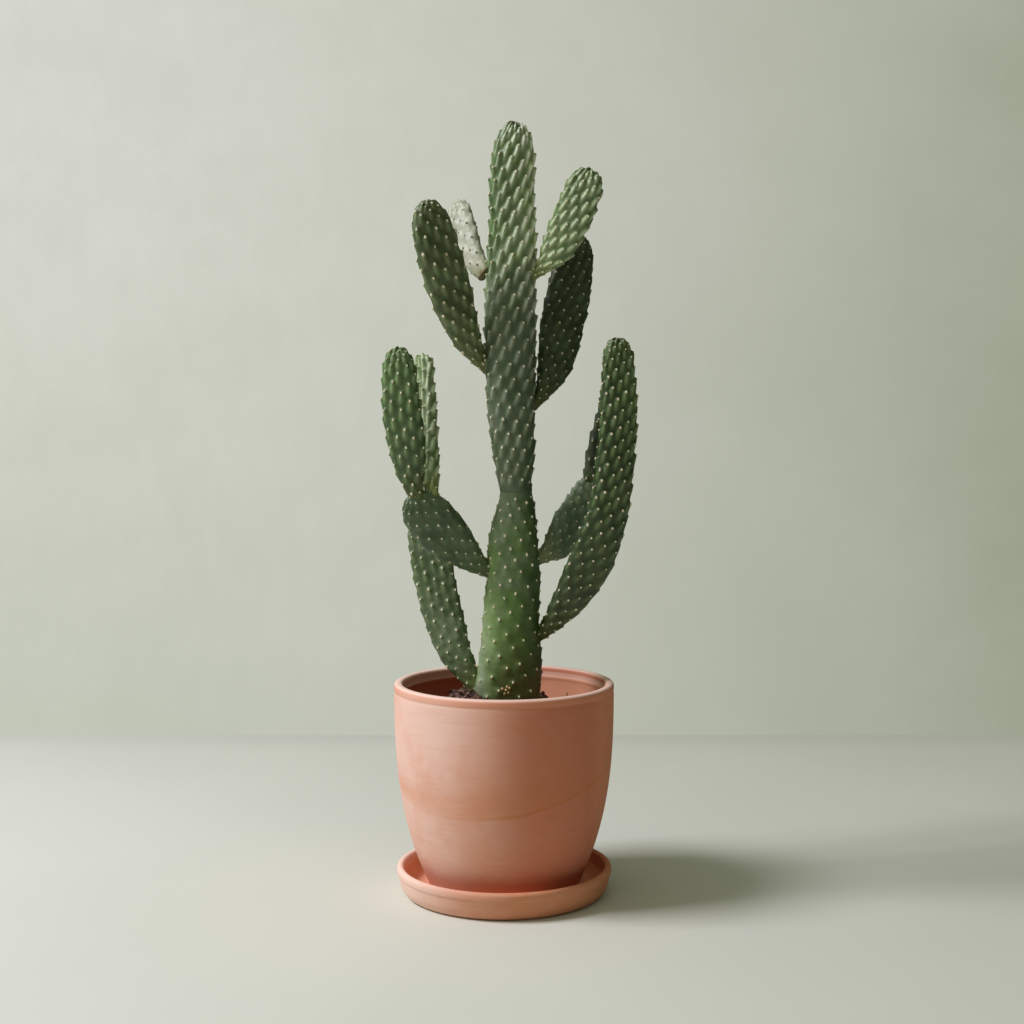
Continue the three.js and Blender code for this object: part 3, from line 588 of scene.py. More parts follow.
def add_dome(vertices, faces, marks, centre, axes, radius, height, mark):
    """A small cushion of felt, sunk a little into the skin."""
    out, up, side = axes
    start = len(vertices)
    for share, lift in DOME_RINGS:
        for k in range(DOME_SIDES):
            angle = 2 * math.pi * k / DOME_SIDES
            aside = up * radius * DOME_LONG * share * math.sin(angle) + side * radius * share * math.cos(angle)
            vertices.append(centre + out * height * lift + aside)
    vertices.append(centre + out * height)
    for level in range(2):
        faces += belt(start + level * DOME_SIDES, start + (level + 1) * DOME_SIDES, DOME_SIDES)
    crown, top = start + 2 * DOME_SIDES, start + 3 * DOME_SIDES
    faces += [(crown + k, crown + (k + 1) % DOME_SIDES, top) for k in range(DOME_SIDES)]
    faces.append(tuple(start + k for k in reversed(range(DOME_SIDES))))
    marks += [mark] * (len(faces) - len(marks))


def add_bristle(vertices, faces, marks, root, direction, length, thick):
    """A three-sided bristle that ends in a point."""
    across = unit(np.cross(direction, (0.31, 0.17, 0.93)))
    other = np.cross(direction, across)
    start = len(vertices)
    for k in range(3):
        angle = 2 * math.pi * k / 3
        vertices.append(root + thick * (across * math.cos(angle) + other * math.sin(angle)))
    vertices.append(root + direction * length)
    faces += [(start + k, start + (k + 1) % 3, start + 3) for k in range(3)]
    faces.append((start + 2, start + 1, start))
    marks += [BRISTLE] * (len(faces) - len(marks))


def build_areoles(stem, felt, bristle, seed):
    """Felt cushions with their tufts of short bristles, at each areole of one stem."""
    draw = random.Random(seed)
    vertices, faces, marks = grown = [], [], []
    hidden = BASE_COVER[stem.spec["name"]]
    for place, normal, heading, vigour, u in stem.areoles():
        if u * stem.length < hidden:
            continue
        out = unit(normal + 0.25 * heading)
        up = unit(heading - heading.dot(out) * out)
        side = np.cross(up, out)
        near_tip = 1.0 if stem.tip is None else float(smooth((1 - u) * stem.length, 0, 40))
        radius = stem.spec["areole"] * vigour * (0.6 + 0.4 * near_tip)
        centre = place - out * 0.1
        add_dome(*grown, centre * MM, (out, up, side), radius * MM, DOME_HEIGHT * radius * MM, FELT)
        for _ in range(BRISTLE_COUNT):
            lean = unit(out + 0.75 * draw.uniform(-1, 1) * side + (0.2 + 0.7 * draw.uniform(-0.6, 1)) * up)
            root = centre + side * radius * draw.uniform(-0.6, 0.6) + up * radius * draw.uniform(-0.5, 0.7)
            length = radius * draw.uniform(0.6, 1.1)
            add_bristle(*grown, (root + out * 0.25) * MM, lean, length * MM, BRISTLE_THICK * MM)
    for place, normal, heading in stem.tufts():
        side = np.cross(heading, normal)
        add_dome(*grown, place * MM, (normal, heading, side), TUFT_RADIUS * MM, TUFT_HEIGHT * MM, BRISTLE)
        for _ in range(TUFT_COUNT):
            lean = unit(normal + draw.uniform(-1, 1) * side + draw.uniform(-0.9, 1) * heading)
            add_bristle(*grown, place * MM, lean, draw.uniform(1.6, 3.0) * MM, TUFT_THICK * MM)
    piece = mesh_object(stem.spec["name"] + "_areoles", vertices, faces, [felt, bristle])
    piece.data.polygons.foreach_set("material_index", marks)
    return piece


def lathe(name, profile, material, wobble):
    """A turned body whose profile closes on itself, or starts and ends on the axis."""
    on_axis = profile[0][0] < 1e-6
    inner = profile[1:-1] if on_axis else profile[:-1]
    vertices = []
    for radius, z in inner:
        for k in range(TURN_STEPS):
            angle = 2 * math.pi * k / TURN_STEPS
            sway = math.sin(2 * angle + 0.031 * z) + 0.6 * math.sin(3 * angle - 0.05 * z + 1.3) - 1.6
            r = max(radius + (wobble * sway / 2 if radius > 20 else 0), 0.01)
            vertices.append((r * math.cos(angle) * MM, r * math.sin(angle) * MM, z * MM))
    rings, count = len(inner), len(vertices)
    if on_axis:
        vertices += [(0, 0, profile[0][1] * MM), (0, 0, profile[-1][1] * MM)]
        faces = closed_grid(rings, TURN_STEPS, count, count + 1)
    else:
        faces = []
        for i in range(rings):
            faces += belt(i * TURN_STEPS, (i + 1) % rings * TURN_STEPS, TURN_STEPS)
    return mesh_object(name, vertices, faces, material)


def arc(x, z, radius, start, end, steps):
    """Points of a profile along an arc, from one angle to another in degrees."""
    angles = [math.radians(start + (end - start) * k / steps) for k in range(steps + 1)]
    return [(x + radius * math.cos(a), z + radius * math.sin(a)) for a in angles]


def eased(profile, size):
    """Takes the sharpness off a profile's corners, apart from its two ends."""
    points = [profile[0]]
    for before, here, after in zip(profile, profile[1:], profile[2:]):
        a, b = (math.hypot(p[0] - here[0], p[1] - here[1]) for p in (before, after))
        cut_a, cut_b = min(size / max(a, 1e-6), 0.45), min(size / max(b, 1e-6), 0.45)
        points.append(tuple(here[k] + (before[k] - here[k]) * cut_a for k in (0, 1)))
        points.append(tuple(here[k] + (after[k] - here[k]) * cut_b for k in (0, 1)))
    return points + [profile[-1]]


def pot_outer(z):
    """Outer radius of the pot's wall at a height."""
    t = clamp((z - POT_FOOT) / (POT_TOP - POT_FOOT), 0, 1)
    return FOOT_RADIUS + (RIM_RADIUS - FOOT_RADIUS) * (1 - (1 - t) ** POT_BELLY)


def pot_inner(z):
    """Inner radius of the pot's wall at a height."""
    return pot_outer(z) - POT_WALL


def pot_profile():
    """The pot's section: foot, wall, bevelled band, crown, the step inside it, floor and drainage hole."""
    inside = POT_FOOT + POT_FLOOR
    crown = POT_TOP - CROWN_RADIUS
    band = POT_TOP - RIM_BAND
    lip = POT_TOP - INNER_LIP
    height = POT_TOP - POT_FOOT
    outer = [POT_FOOT + height * t for t in np.linspace(0.02, 0.945, 30)]
    inner = np.linspace(lip - 4, inside + 6, 26)
    profile = [(DRAIN_RADIUS, POT_FOOT), (FOOT_RADIUS - 2.5, POT_FOOT)]
    profile += [(pot_outer(z), z) for z in outer]
    profile += [(RIM_RADIUS - RIM_BEVEL, band - 0.8), (RIM_RADIUS, band + 0.6)]
    profile += arc(RIM_RADIUS - CROWN_RADIUS, crown, CROWN_RADIUS, 0, 90, 8)
    profile += arc(RIM_RADIUS - POT_WALL + CROWN_RADIUS, crown, CROWN_RADIUS, 90, 180, 8)
    profile += [(RIM_RADIUS - POT_WALL, lip + 1), (pot_inner(lip) - 1, lip - 1)]
    profile += [(pot_inner(z), z) for z in inner]
    profile += [(pot_inner(inside) - 3, inside), (DRAIN_RADIUS, inside), (DRAIN_RADIUS, POT_FOOT)]
    return eased(profile, 0.5)


def saucer_profile():
    """The saucer's section: flat underside, flared wall, the line under its rolled rim, gutter and floor."""
    bead = SAUCER_WALL / 2
    groove = SAUCER_TOP - bead - SAUCER_BEAD
    profile = [(0, 0), (SAUCER_BASE_RADIUS - 4, 0), (SAUCER_BASE_RADIUS, 2.5), (SAUCER_BASE_RADIUS + 3.6, 9)]
    profile += [(SAUCER_RADIUS - 1.2, groove - 1.2), (SAUCER_RADIUS - 1.0, groove - 0.2)]
    profile += [(SAUCER_RADIUS, groove + 1)]
    profile += arc(SAUCER_RADIUS - bead, SAUCER_TOP - bead, bead, 0, 180, 14)
    profile += [(SAUCER_RADIUS - SAUCER_WALL - 1, 14), (SAUCER_BASE_RADIUS - 7, 8),
                (SAUCER_BASE_RADIUS - 10, SAUCER_FLOOR), (0, SAUCER_FLOOR)]
    return eased(profile, 0.9)


def soil_top(x, y):
    """Height of the mix: a heap round the trunk, with a bank, a dip, lumps and crumbs."""
    away = math.hypot(x - HEAP_CENTRE, y)
    t = clamp((away - HEAP_FLAT) / (HEAP_REACH - HEAP_FLAT), 0, 1)
    aside, deep = (x - BANK_PLACE[0]) / BANK_SIZE[0], (y - BANK_PLACE[1]) / BANK_SIZE[1]
    bank = BANK_LIFT * math.exp(-aside ** 2 - deep ** 2)
    dip = DIP_DEPTH * math.exp(-((x - DIP_MIDDLE) / DIP_HALF) ** 4) * float(smooth(-y, *DIP_FRONT))
    top = SOIL_EDGE + SOIL_HEAP * (1 - t * t * (3 - 2 * t)) + bank - dip
    for height, close, layer in MIX_LUMPS:
        top += height * noise.noise(Vector((x * close, y * close, layer)))
    return top


def build_soil(material):
    """The mix as one body: its crumbly top, and its side down the pot's wall to the floor."""
    angles = np.arange(MIX_STEPS) * 2 * math.pi / MIX_STEPS
    floor = POT_FOOT + POT_FLOOR
    sides = (floor, floor + 12, 60.0, 100.0, 130.0, 150.0)
    vertices = []
    for z in sides:
        radius = pot_inner(z) - (3.6 if z == floor else 0.4)
        vertices += [(radius * math.cos(a), radius * math.sin(a), z) for a in angles]
    brim = pot_inner(SOIL_EDGE) - 0.5
    for share in MIX_SHARES:
        for a in angles:
            x, y = brim * share * math.cos(a), brim * share * math.sin(a)
            vertices.append((x, y, soil_top(x, y)))
    count = len(vertices)
    vertices += [(0, 0, floor), (0, 0, soil_top(0, 0))]
    faces = closed_grid(len(sides) + len(MIX_SHARES), MIX_STEPS, count, count + 1)
    return mesh_object("potting_mix", np.array(vertices) * MM, faces, material)


def add_sliver(vertices, faces, line, thick, sides=6):
    """A thin splinter of bark along a short line, narrower at its far end."""
    start = len(vertices)
    for place, share in zip(line, (1.0, 0.8, 0.3)):
        for k in range(sides):
            angle = 2 * math.pi * k / sides
            aside = np.array((math.cos(angle), math.sin(angle), 0.4))
            vertices.append(np.array(place) + thick * share * aside)
    for level in range(len(line) - 1):
        faces += belt(start + level * sides, start + (level + 1) * sides, sides)
    faces.append(tuple(start + k for k in reversed(range(sides))))
    faces.append(tuple(start + (len(line) - 1) * sides + k for k in range(sides)))


def build_crumbs(material, count):
    """Loose crumbs and bark chips that lie on the mix, half sunk."""
    draw = random.Random(CRUMB_SEED)
    corners = [(1, 1, 1), (-1, -1, 1), (-1, 1, -1), (1, -1, -1), (0, 0, 1.4), (0, 0, -1.4), (1.3, 0, 0),
               (-1.3, 0, 0)]
    corners = [unit(np.array(corner, float)) for corner in corners]
    hull = [(4, 0, 1), (4, 2, 0), (4, 1, 2), (6, 0, 2), (6, 3, 0), (0, 3, 1), (7, 1, 3), (7, 2, 1), (5, 3, 6),
            (5, 6, 2), (5, 2, 7), (5, 7, 3)]
    vertices, faces = [], []
    brim = pot_inner(SOIL_EDGE) - 3
    while count:
        angle, share = draw.uniform(0, 2 * math.pi), math.sqrt(draw.random())
        x, y = brim * share * math.cos(angle), brim * share * math.sin(angle)
        size = 0.7 + 1.9 * draw.random() ** 3
        if math.hypot((x - CLEARING_AT) / CLEARING_WIDE, y / CLEARING_DEEP) < 1:
            continue
        count -= 1
        stretch = np.array([draw.uniform(0.6, 1.6), draw.uniform(0.6, 1.2), draw.uniform(0.5, 0.9)])
        yaw = draw.uniform(0, 6.28)
        turn = np.array([[math.cos(yaw), -math.sin(yaw), 0], [math.sin(yaw), math.cos(yaw), 0], [0, 0, 1]])
        start = len(vertices)
        for corner in corners:
            grain = corner * stretch * size * draw.uniform(0.75, 1.2)
            vertices.append(turn @ grain + (x, y, soil_top(x, y) + size * 0.35))
        faces += [tuple(start + k for k in face) for face in hull]
    add_sliver(vertices, faces, [(60.5, 27.0, 155.0), (59.6, 27.4, 168.0), (58.2, 27.0, 178.0)], 0.9)
    add_sliver(vertices, faces, [(-58.0, -22.0, 157.0), (-50.0, -27.0, 160.0), (-43.0, -30.0, 161.5)], 1.1)
    return mesh_object("mix_crumbs", np.array(vertices) * MM, faces, material, smooth_shade=False)


class Wiring:
    """Short ways to add and join shader nodes in one tree."""

    def __init__(self, tree):
        self.tree = tree

    def feed(self, socket, value):
        if isinstance(value, bpy.types.NodeSocket):
            self.tree.links.new(value, socket)
        elif isinstance(value, tuple) and socket.type == "RGBA" and len(value) == 3:
            socket.default_value = (*value, 1.0)
        else:
            socket.default_value = value

    def node(self, kind, inputs=(), **settings):
        made = self.tree.nodes.new(kind)
        for name, value in settings.items():
            setattr(made, name, value)
        for name, value in dict(inputs).items():
            self.feed(made.inputs[name], value)
        return made

    def math(self, operation, a, b=0.0, clamped=True):
        return self.node("ShaderNodeMath", {0: a, 1: b}, operation=operation, use_clamp=clamped).outputs[0]

    def add(self, a, b, clamped=True):
        return self.math("ADD", a, b, clamped)

    def less(self, a, b, clamped=True):
        return self.math("SUBTRACT", a, b, clamped)

    def times(self, *values, clamped=True):
        product = values[0]
        for value in values[1:]:
            product = self.math("MULTIPLY", product, value, clamped)
        return product

    def ramp(self, value, low, high, to_low=0.0, to_high=1.0, kind="SMOOTHSTEP"):
        return self.node("ShaderNodeMapRange", {0: value, 1: low, 2: high, 3: to_low, 4: to_high},
                         interpolation_type=kind).outputs[0]

    def mix(self, share, a, b, blend="MIX"):
        made = self.node("ShaderNodeMix", data_type="RGBA", blend_type=blend)
        self.feed(made.inputs[0], share)
        self.feed(made.inputs[6], a)
        self.feed(made.inputs[7], b)
        return made.outputs[2]

    def noise(self, vector, scale, detail=4.0, roughness=0.55):
        return self.node("ShaderNodeTexNoise", {"Vector": vector, "Scale": scale, "Detail": detail,
                                                "Roughness": roughness}).outputs["Fac"]

    def cells(self, vector, scale):
        return self.node("ShaderNodeTexVoronoi", {"Vector": vector, "Scale": scale}).outputs["Distance"]

    def mark(self, name):
        """A number kept on the vertices."""
        return self.node("ShaderNodeAttribute", attribute_name=name).outputs

    def stretched(self, vector, x, y, z):
        return self.node("ShaderNodeVectorMath", {0: vector, 1: (x, y, z)}, operation="MULTIPLY").outputs[0]

    def place(self):
        return self.node("ShaderNodeTexCoord").outputs["Object"]

    def axes(self, vector):
        return self.node("ShaderNodeSeparateXYZ", {0: vector}).outputs

    def from_axis(self, place):
        """Distance from the pot's axis."""
        flat = self.stretched(place, 1.0, 1.0, 0.0)
        return self.node("ShaderNodeVectorMath", {0: flat}, operation="LENGTH").outputs["Value"]


def new_group(name, inputs, outputs):
    """An empty shader group, with its wiring, its inputs and its outputs by name."""
    tree = bpy.data.node_groups.new(name, "ShaderNodeTree")
    for label, kind, default in inputs:
        socket = tree.interface.new_socket(name=label, in_out="INPUT", socket_type=kind)
        socket.default_value = (*default, 1.0) if kind == "NodeSocketColor" else default
    for label, kind in outputs:
        tree.interface.new_socket(name=label, in_out="OUTPUT", socket_type=kind)
    wires = Wiring(tree)
    return tree, wires, wires.node("NodeGroupInput").outputs, wires.node("NodeGroupOutput").inputs


COLOUR, VALUE = "NodeSocketColor", "NodeSocketFloat"


def shared_group(name):
    """A shader group by its name, built when it is first asked for."""
    return bpy.data.node_groups.get(name) or GROUPS[name]()


def mottle_group():
    """Soft patches of any scale, for felt, bristles, mix and floor."""
    inputs = [("Scale", VALUE, 20.0), ("Detail", VALUE, 4.0), ("Low", VALUE, 0.35), ("High", VALUE, 0.65)]
    tree, w, given, out = new_group("Mottle", inputs, [("Mask", VALUE)])
    field = w.noise(w.place(), given["Scale"], given["Detail"])
    w.feed(out["Mask"], w.ramp(field, given["Low"], given["High"]))
    return tree


def skin_group():
    """Waxy cactus skin: greens, older and younger parts, wax on the flat, wax and a painted highlight on the
    ridges, painted shade in the troughs and round the areoles, painted light and shade by side, foot and cork.
    """
    tree, w, given, out = new_group(
        "Cactus skin",
        [("Fresh", COLOUR, (0.1, 0.16, 0.06)), ("Deep", COLOUR, (0.03, 0.05, 0.02)),
         ("Wax", COLOUR, (0.25, 0.3, 0.22)), ("Wax on flat", VALUE, 0.3), ("Wax and highlight on ridges", VALUE, 0.6),
         ("Aged from base", VALUE, 0.0), ("Aged from tip", VALUE, 0.0), ("Aged on bloom", VALUE, 0.0),
         ("Young", COLOUR, (1.0, 1.0, 1.0)), ("Young from tip", VALUE, 1.0), ("Trough shade", VALUE, 0.85),
         ("Foot", COLOUR, (0.15, 0.15, 0.05)), ("Foot reach", VALUE, 0.35),
         ("Cork", COLOUR, (0.16, 0.09, 0.045)), ("Cork share", VALUE, 1.0)],
        [("Colour", COLOUR), ("Roughness", VALUE), ("Height", VALUE)])
    place, tone, crest_highlight, bloom_and_side_shading = w.place(), w.mark("tone"), w.mark("crest_highlight")["Fac"], w.mark("bloom_and_side_shading")["Fac"]
    parts = w.node("ShaderNodeSeparateColor", {0: tone["Color"]}).outputs
    raised, near, from_base, from_tip = parts[0], parts[1], parts[2], tone["Alpha"]
    # Greens, with painted shade in the troughs, and brighter on the young tip
    patches = w.ramp(w.noise(place, 15.0, 2.0), 0.34, 0.66)
    streaks = w.ramp(w.noise(w.stretched(place, 1.0, 1.0, 0.4), 95.0, 4.0, 0.6), 0.32, 0.70)
    grain = w.noise(place, 700.0, 3.0, 0.6)
    body = w.add(w.times(patches, 0.55), w.times(streaks, 0.45))
    green = w.mix(body, given["Deep"], given["Fresh"])
    trough_shade = w.times(w.ramp(raised, 0.0, 0.45, 1.0, 0.0), given["Trough shade"])
    green = w.mix(trough_shade, green, given["Deep"])
    film = w.ramp(w.noise(place, 42.0, 5.0, 0.6), 0.36, 0.70)
    drift = w.times(w.ramp(w.noise(place, 26.0, 4.0, 0.6), 0.32, 0.68), 0.55)
    young = w.math("DIVIDE", w.less(given["Young from tip"], from_tip), given["Young from tip"])
    green = w.mix(young, green, given["Young"], "MULTIPLY")
    # Old skin, from the base, from the tip and where the side is painted brighter
    zones = []
    for distance, reach in ((from_base, given["Aged from base"]), (from_tip, given["Aged from tip"])):
        share = w.less(reach, w.add(distance, w.times(drift, reach), False), False)
        zones.append(w.math("DIVIDE", share, w.math("MAXIMUM", reach, 0.01)))
    zones = w.math("MAXIMUM", w.math("MAXIMUM", *zones), w.times(bloom_and_side_shading, given["Aged on bloom"]))
    aged = w.ramp(zones, 0.0, 0.75, 0.0, 0.85)
    old = w.mix(body, OLD_SHADE, OLD_LIGHT)
    old = w.mix(w.times(film, 0.6), old, OLD_FILM)
    old = w.mix(w.times(trough_shade, 0.75), old, OLD_TROUGH_SHADE)
    green = w.mix(aged, green, old)
    # Wax on the flat, wax with a painted highlight on the crests, then the foot, kept off the side painted
    # brighter, and the painted light and shade by side
    waxy = w.less(1.0, w.times(aged, 0.75))
    green = w.mix(w.times(film, given["Wax on flat"], waxy), green, given["Wax"])
    lit = w.add(w.times(crest_highlight, 0.9), w.ramp(raised, 0.5, 1.0, 0.0, 0.25))
    lit = w.times(lit, w.ramp(film, 0.0, 1.0, 0.7, 1.0), waxy, given["Wax and highlight on ridges"])
    green = w.mix(lit, green, given["Wax"])
    foot = w.ramp(from_base, 0.0, given["Foot reach"], 0.75, 0.0)
    green = w.mix(w.times(foot, w.ramp(bloom_and_side_shading, 0.22, 0.45, 1.0, 0.0)), green, given["Foot"])
    green = w.mix(w.ramp(bloom_and_side_shading, 0.0, 1.0), green, SIDE_LIGHT_GAIN, "MULTIPLY")
    green = w.mix(w.ramp(bloom_and_side_shading, 0.0, -1.0), green, SIDE_SHADE_GAIN, "MULTIPLY")
    # Grain, painted shade round the areoles, pores, cork and scars
    green = w.mix(w.ramp(grain, 0.3, 0.75, 0.0, 0.18), green, given["Deep"])
    green = w.mix(w.times(w.ramp(near, 0.05, 0.5), 0.30), green, given["Deep"])
    pores = w.ramp(w.cells(place, 420.0), 0.08, 0.2, 1.0, 0.0)
    green = w.mix(w.times(pores, 0.16), green, given["Wax"])
    ragged = w.add(from_base, w.ramp(w.noise(place, 130.0, 5.0, 0.65), 0.3, 0.7, 0.0, 0.05), False)
    cork = w.times(w.ramp(ragged, 0.07, 0.02, 0.0, 0.8), given["Cork share"])
    scars = w.ramp(w.noise(w.stretched(place, 1.0, 1.0, 0.6), 52.0, 6.0, 0.7), 0.71, 0.78, 0.0, 0.45)
    green = w.mix(w.math("MAXIMUM", cork, scars), green, given["Cork"])
    w.feed(out["Colour"], green)
    worn = w.add(w.times(film, 0.5), w.times(cork, 0.6))
    w.feed(out["Roughness"], w.ramp(worn, 0.0, 1.0, 0.44, 0.68))
    rough = w.add(w.times(grain, 0.5), w.times(w.noise(place, 230.0, 4.0), 0.5))
    w.feed(out["Height"], w.add(w.times(rough, 0.8), w.times(cork, 0.2)))
    return tree


def clay_group():
    """Unglazed fired clay: faint bands from the wheel, soft clouds of pale bloom, pores and specks."""
    tree, w, given, out = new_group(
        "Fired clay",
        [("Clay", COLOUR, (0.6, 0.3, 0.18)), ("Iron", COLOUR, (0.5, 0.2, 0.08)),
         ("Pale", COLOUR, (0.75, 0.5, 0.38)), ("Pale share", VALUE, 0.3), ("Iron share", VALUE, 0.3)],
        [("Colour", COLOUR), ("Roughness", VALUE), ("Height", VALUE)])
    place = w.place()
    bands = w.noise(w.stretched(place, 0.12, 0.12, 1.0), 55.0, 4.0, 0.55)
    lines = w.noise(w.stretched(place, 0.05, 0.05, 1.0), 420.0, 3.0, 0.5)
    cloud = w.noise(place, 11.0, 3.0, 0.5)
    dust = w.noise(place, 90.0, 6.0, 0.65)
    colour = w.mix(w.times(w.ramp(bands, 0.35, 0.75), given["Iron share"]), given["Clay"], given["Iron"])
    soft = w.add(w.times(w.ramp(cloud, 0.3, 0.7), 0.6), w.times(dust, 0.5))
    pale = w.times(w.ramp(soft, 0.15, 0.85, 0.6, 1.15), given["Pale share"])
    colour = w.mix(pale, colour, given["Pale"])
    colour = w.mix(w.ramp(lines, 0.50, 0.70, 0.0, 0.13), colour, given["Iron"])
    brushed = w.noise(w.stretched(place, 0.35, 0.35, 1.0), 190.0, 5.0, 0.65)
    colour = w.mix(w.ramp(brushed, 0.45, 0.75, 0.0, 0.12), colour, given["Pale"])
    specks = w.ramp(w.cells(place, 300.0), 0.04, 0.09, 1.0, 0.0)
    colour = w.mix(w.times(specks, 0.3), colour, given["Iron"])
    pits = w.ramp(w.cells(place, 42.0), 0.022, 0.030, 0.8, 0.0)
    w.feed(out["Colour"], w.mix(pits, colour, (0.14, 0.06, 0.035)))
    w.feed(out["Roughness"], w.ramp(dust, 0.25, 0.75, 0.74, 0.92))
    relief = w.add(w.times(lines, 0.30), w.times(w.noise(place, 900.0, 3.0, 0.6), 0.45))
    w.feed(out["Height"], w.less(relief, w.times(specks, 0.2)))
    return tree


GROUPS = {"Mottle": mottle_group, "Cactus skin": skin_group, "Fired clay": clay_group}


def new_material(name):
    """An empty material, with its wiring and its shader."""
    material = bpy.data.materials.new(name)
    material.use_nodes = True
    tree = material.node_tree
    tree.nodes.clear()
    w = Wiring(tree)
    shader = w.node("ShaderNodeBsdfPrincipled")
    w.node("ShaderNodeOutputMaterial", {"Surface": shader.outputs[0]})
    return material, w, shader


def use_group(w, name, values):
    made = w.node("ShaderNodeGroup", node_tree=shared_group(name))
    for label, value in values.items():
        w.feed(made.inputs[label], value)
    return made.outputs


def set_finish(w, shader, colour, roughness, bump, specular=None):
    """Joins the parts of a finish to its shader. Bump is height, strength and distance."""
    w.feed(shader.inputs["Base Color"], colour)
    w.feed(shader.inputs["Roughness"], roughness)
    if specular is not None:
        shader.inputs["Specular IOR Level"].default_value = specular
    if bump:
        height, strength, distance = bump
        made = w.node("ShaderNodeBump", {"Strength": strength, "Distance": distance, "Height": height})
        w.feed(shader.inputs["Normal"], made.outputs[0])


def tinted(colour, tint):
    """A colour times a tint, part by part."""
    return tuple(a * b for a, b in zip(colour, tint))


def skin_material(spec, cork):
    """Skin of one stem: its kind of skin, tinted, with its older and younger parts."""
    kind = spec["skin"]
    fresh, deep, wax = (tinted(colour, spec.get("tint", (1.0, 1.0, 1.0))) for colour in SKINS[kind][:3])
    on_flat, on_ridges = SKINS[kind][3:]
    gain, reach = spec.get("young", (1.0, 1.0))
    material, w, shader = new_material("skin_" + spec["name"])
    values = {"Fresh": fresh, "Deep": deep, "Wax": wax, "Wax on flat": on_flat, "Wax and highlight on ridges": on_ridges,
              "Cork": cork, "Foot": tinted(fresh, FOOT_TINT), "Young": (gain, gain, gain),
              "Young from tip": reach, **SKIN_CHANGES.get(kind, {})}
    got = use_group(w, "Cactus skin", values)
    set_finish(w, shader, got["Colour"], got["Roughness"], (got["Height"], 0.4, 0.0005), 0.42)
    return material


def felt_material(name, shade, light):
    material, w, shader = new_material(name)
    mask = use_group(w, "Mottle", {"Scale": 900.0, "Detail": 3.0})["Mask"]
    set_finish(w, shader, w.mix(mask, shade, light), 0.95, (mask, 0.6, 0.0004))
    return material


def bristle_material():
    material, w, shader = new_material("glochid_bristle")
    mask = use_group(w, "Mottle", {"Scale": 300.0, "Detail": 2.0})["Mask"]
    set_finish(w, shader, w.mix(mask, *BRISTLES), 0.6, None)
    return material


def pot_swirl(w, place, axes):
    """Mask of the orange line that swings up to both sides across the pot's front, with a cloud over it."""
    aside = w.add(axes["X"], 0.041, False)
    curve = w.times(aside, aside, 1.8, clamped=False)
    waver = w.times(w.noise(w.stretched(place, 1.0, 1.0, 0.3), 9.0, 3.0), 0.012, clamped=False)
    level = w.less(w.add(axes["Z"], waver, False), w.add(curve, 0.094, False), False)
    line = w.times(w.ramp(level, -0.0025, 0.0), w.ramp(level, 0.0, 0.004, 1.0, 0.0),
                   w.ramp(axes["X"], -0.05, 0.03, 0.20, 0.95))
    cloud = w.times(w.ramp(level, -0.004, 0.008), w.ramp(level, 0.012, 0.042, 0.45, 0.0))
    fray = w.ramp(w.noise(w.stretched(place, 0.35, 0.35, 1.0), 40.0, 5.0), 0.3, 0.7, 0.35, 1.0)
    return w.times(w.math("MAXIMUM", line, w.times(cloud, fray)), w.ramp(axes["Y"], 0.02, -0.03))


def pot_material(settings):
    """The pot's clay: pale bloom with a painted highlight on its lit left side, an orange swirl, a redder
    foot, painted shade right of the middle, an orange band, and an inside painted in shade on the left and in
    light on the right.
    """
    material, w, shader = new_material("pot_clay")
    place = w.place()
    axes = w.axes(place)
    clay, pale, iron = tuple(settings.clay), tuple(settings.pale), tuple(settings.iron)
    # Pale bloom with a painted highlight, growing towards the lit left side, with a wavering edge
    drift = w.less(w.noise(w.stretched(place, 1.0, 1.0, 0.5), 12.0, 3.0), 0.5, False)
    sideways = w.add(axes["X"], w.times(drift, 0.02, clamped=False), False)
    bloom_and_side_shading = w.times(w.ramp(sideways, 0.042, -0.082), w.ramp(axes["Z"], 0.02, 0.12, 0.95, 1.0))
    got = use_group(w, "Fired clay",
                    {"Clay": clay, "Pale": pale, "Iron": iron, "Pale share": bloom_and_side_shading, "Iron share": 0.22})
    colour = w.mix(pot_swirl(w, place, axes), got["Colour"], iron)
    colour = w.mix(w.ramp(axes["Z"], 0.05, 0.010, 0.0, 0.45), colour, (0.58, 0.20, 0.10))
    # Painted shade on the front right of the middle, where the light turns away
    painted_right_shade = w.times(w.ramp(axes["X"], -0.02, 0.025), w.ramp(axes["X"], 0.088, 0.072))
    colour = w.mix(painted_right_shade, colour, (0.87, 0.80, 0.80), "MULTIPLY")
    band = w.times(w.ramp(axes["Z"], 0.1858, 0.1866), w.ramp(axes["Z"], 0.1925, 0.1915),
                   w.ramp(axes["X"], -0.08, 0.0, 0.45, 0.8))
    colour = w.mix(band, colour, (0.74, 0.285, 0.17))
    colour = w.mix(w.ramp(axes["Z"], 0.1912, 0.1928, 0.0, 0.85), colour, (0.88, 0.63, 0.53))
    # Inside: painted shade on the left and painted light on the right, paler near the lip
    inside = w.times(w.math("LESS_THAN", w.from_axis(place), 0.0935), w.ramp(axes["Z"], 0.1895, 0.1880),
                     w.ramp(axes["Z"], 0.120, 0.130))
    deep = w.mix(w.ramp(axes["X"], -0.03, 0.03), (0.52, 0.105, 0.034), (1.0, 0.46, 0.28))
    ledge = w.times(inside, w.ramp(axes["Z"], 0.1835, 0.1845), 0.7)
    deep = w.mix(ledge, deep, (0.88, 0.56, 0.46))
    colour = w.mix(w.times(inside, 0.9), colour, deep)
    set_finish(w, shader, colour, got["Roughness"], (got["Height"], 0.45, 0.0005), 0.3)
    return material


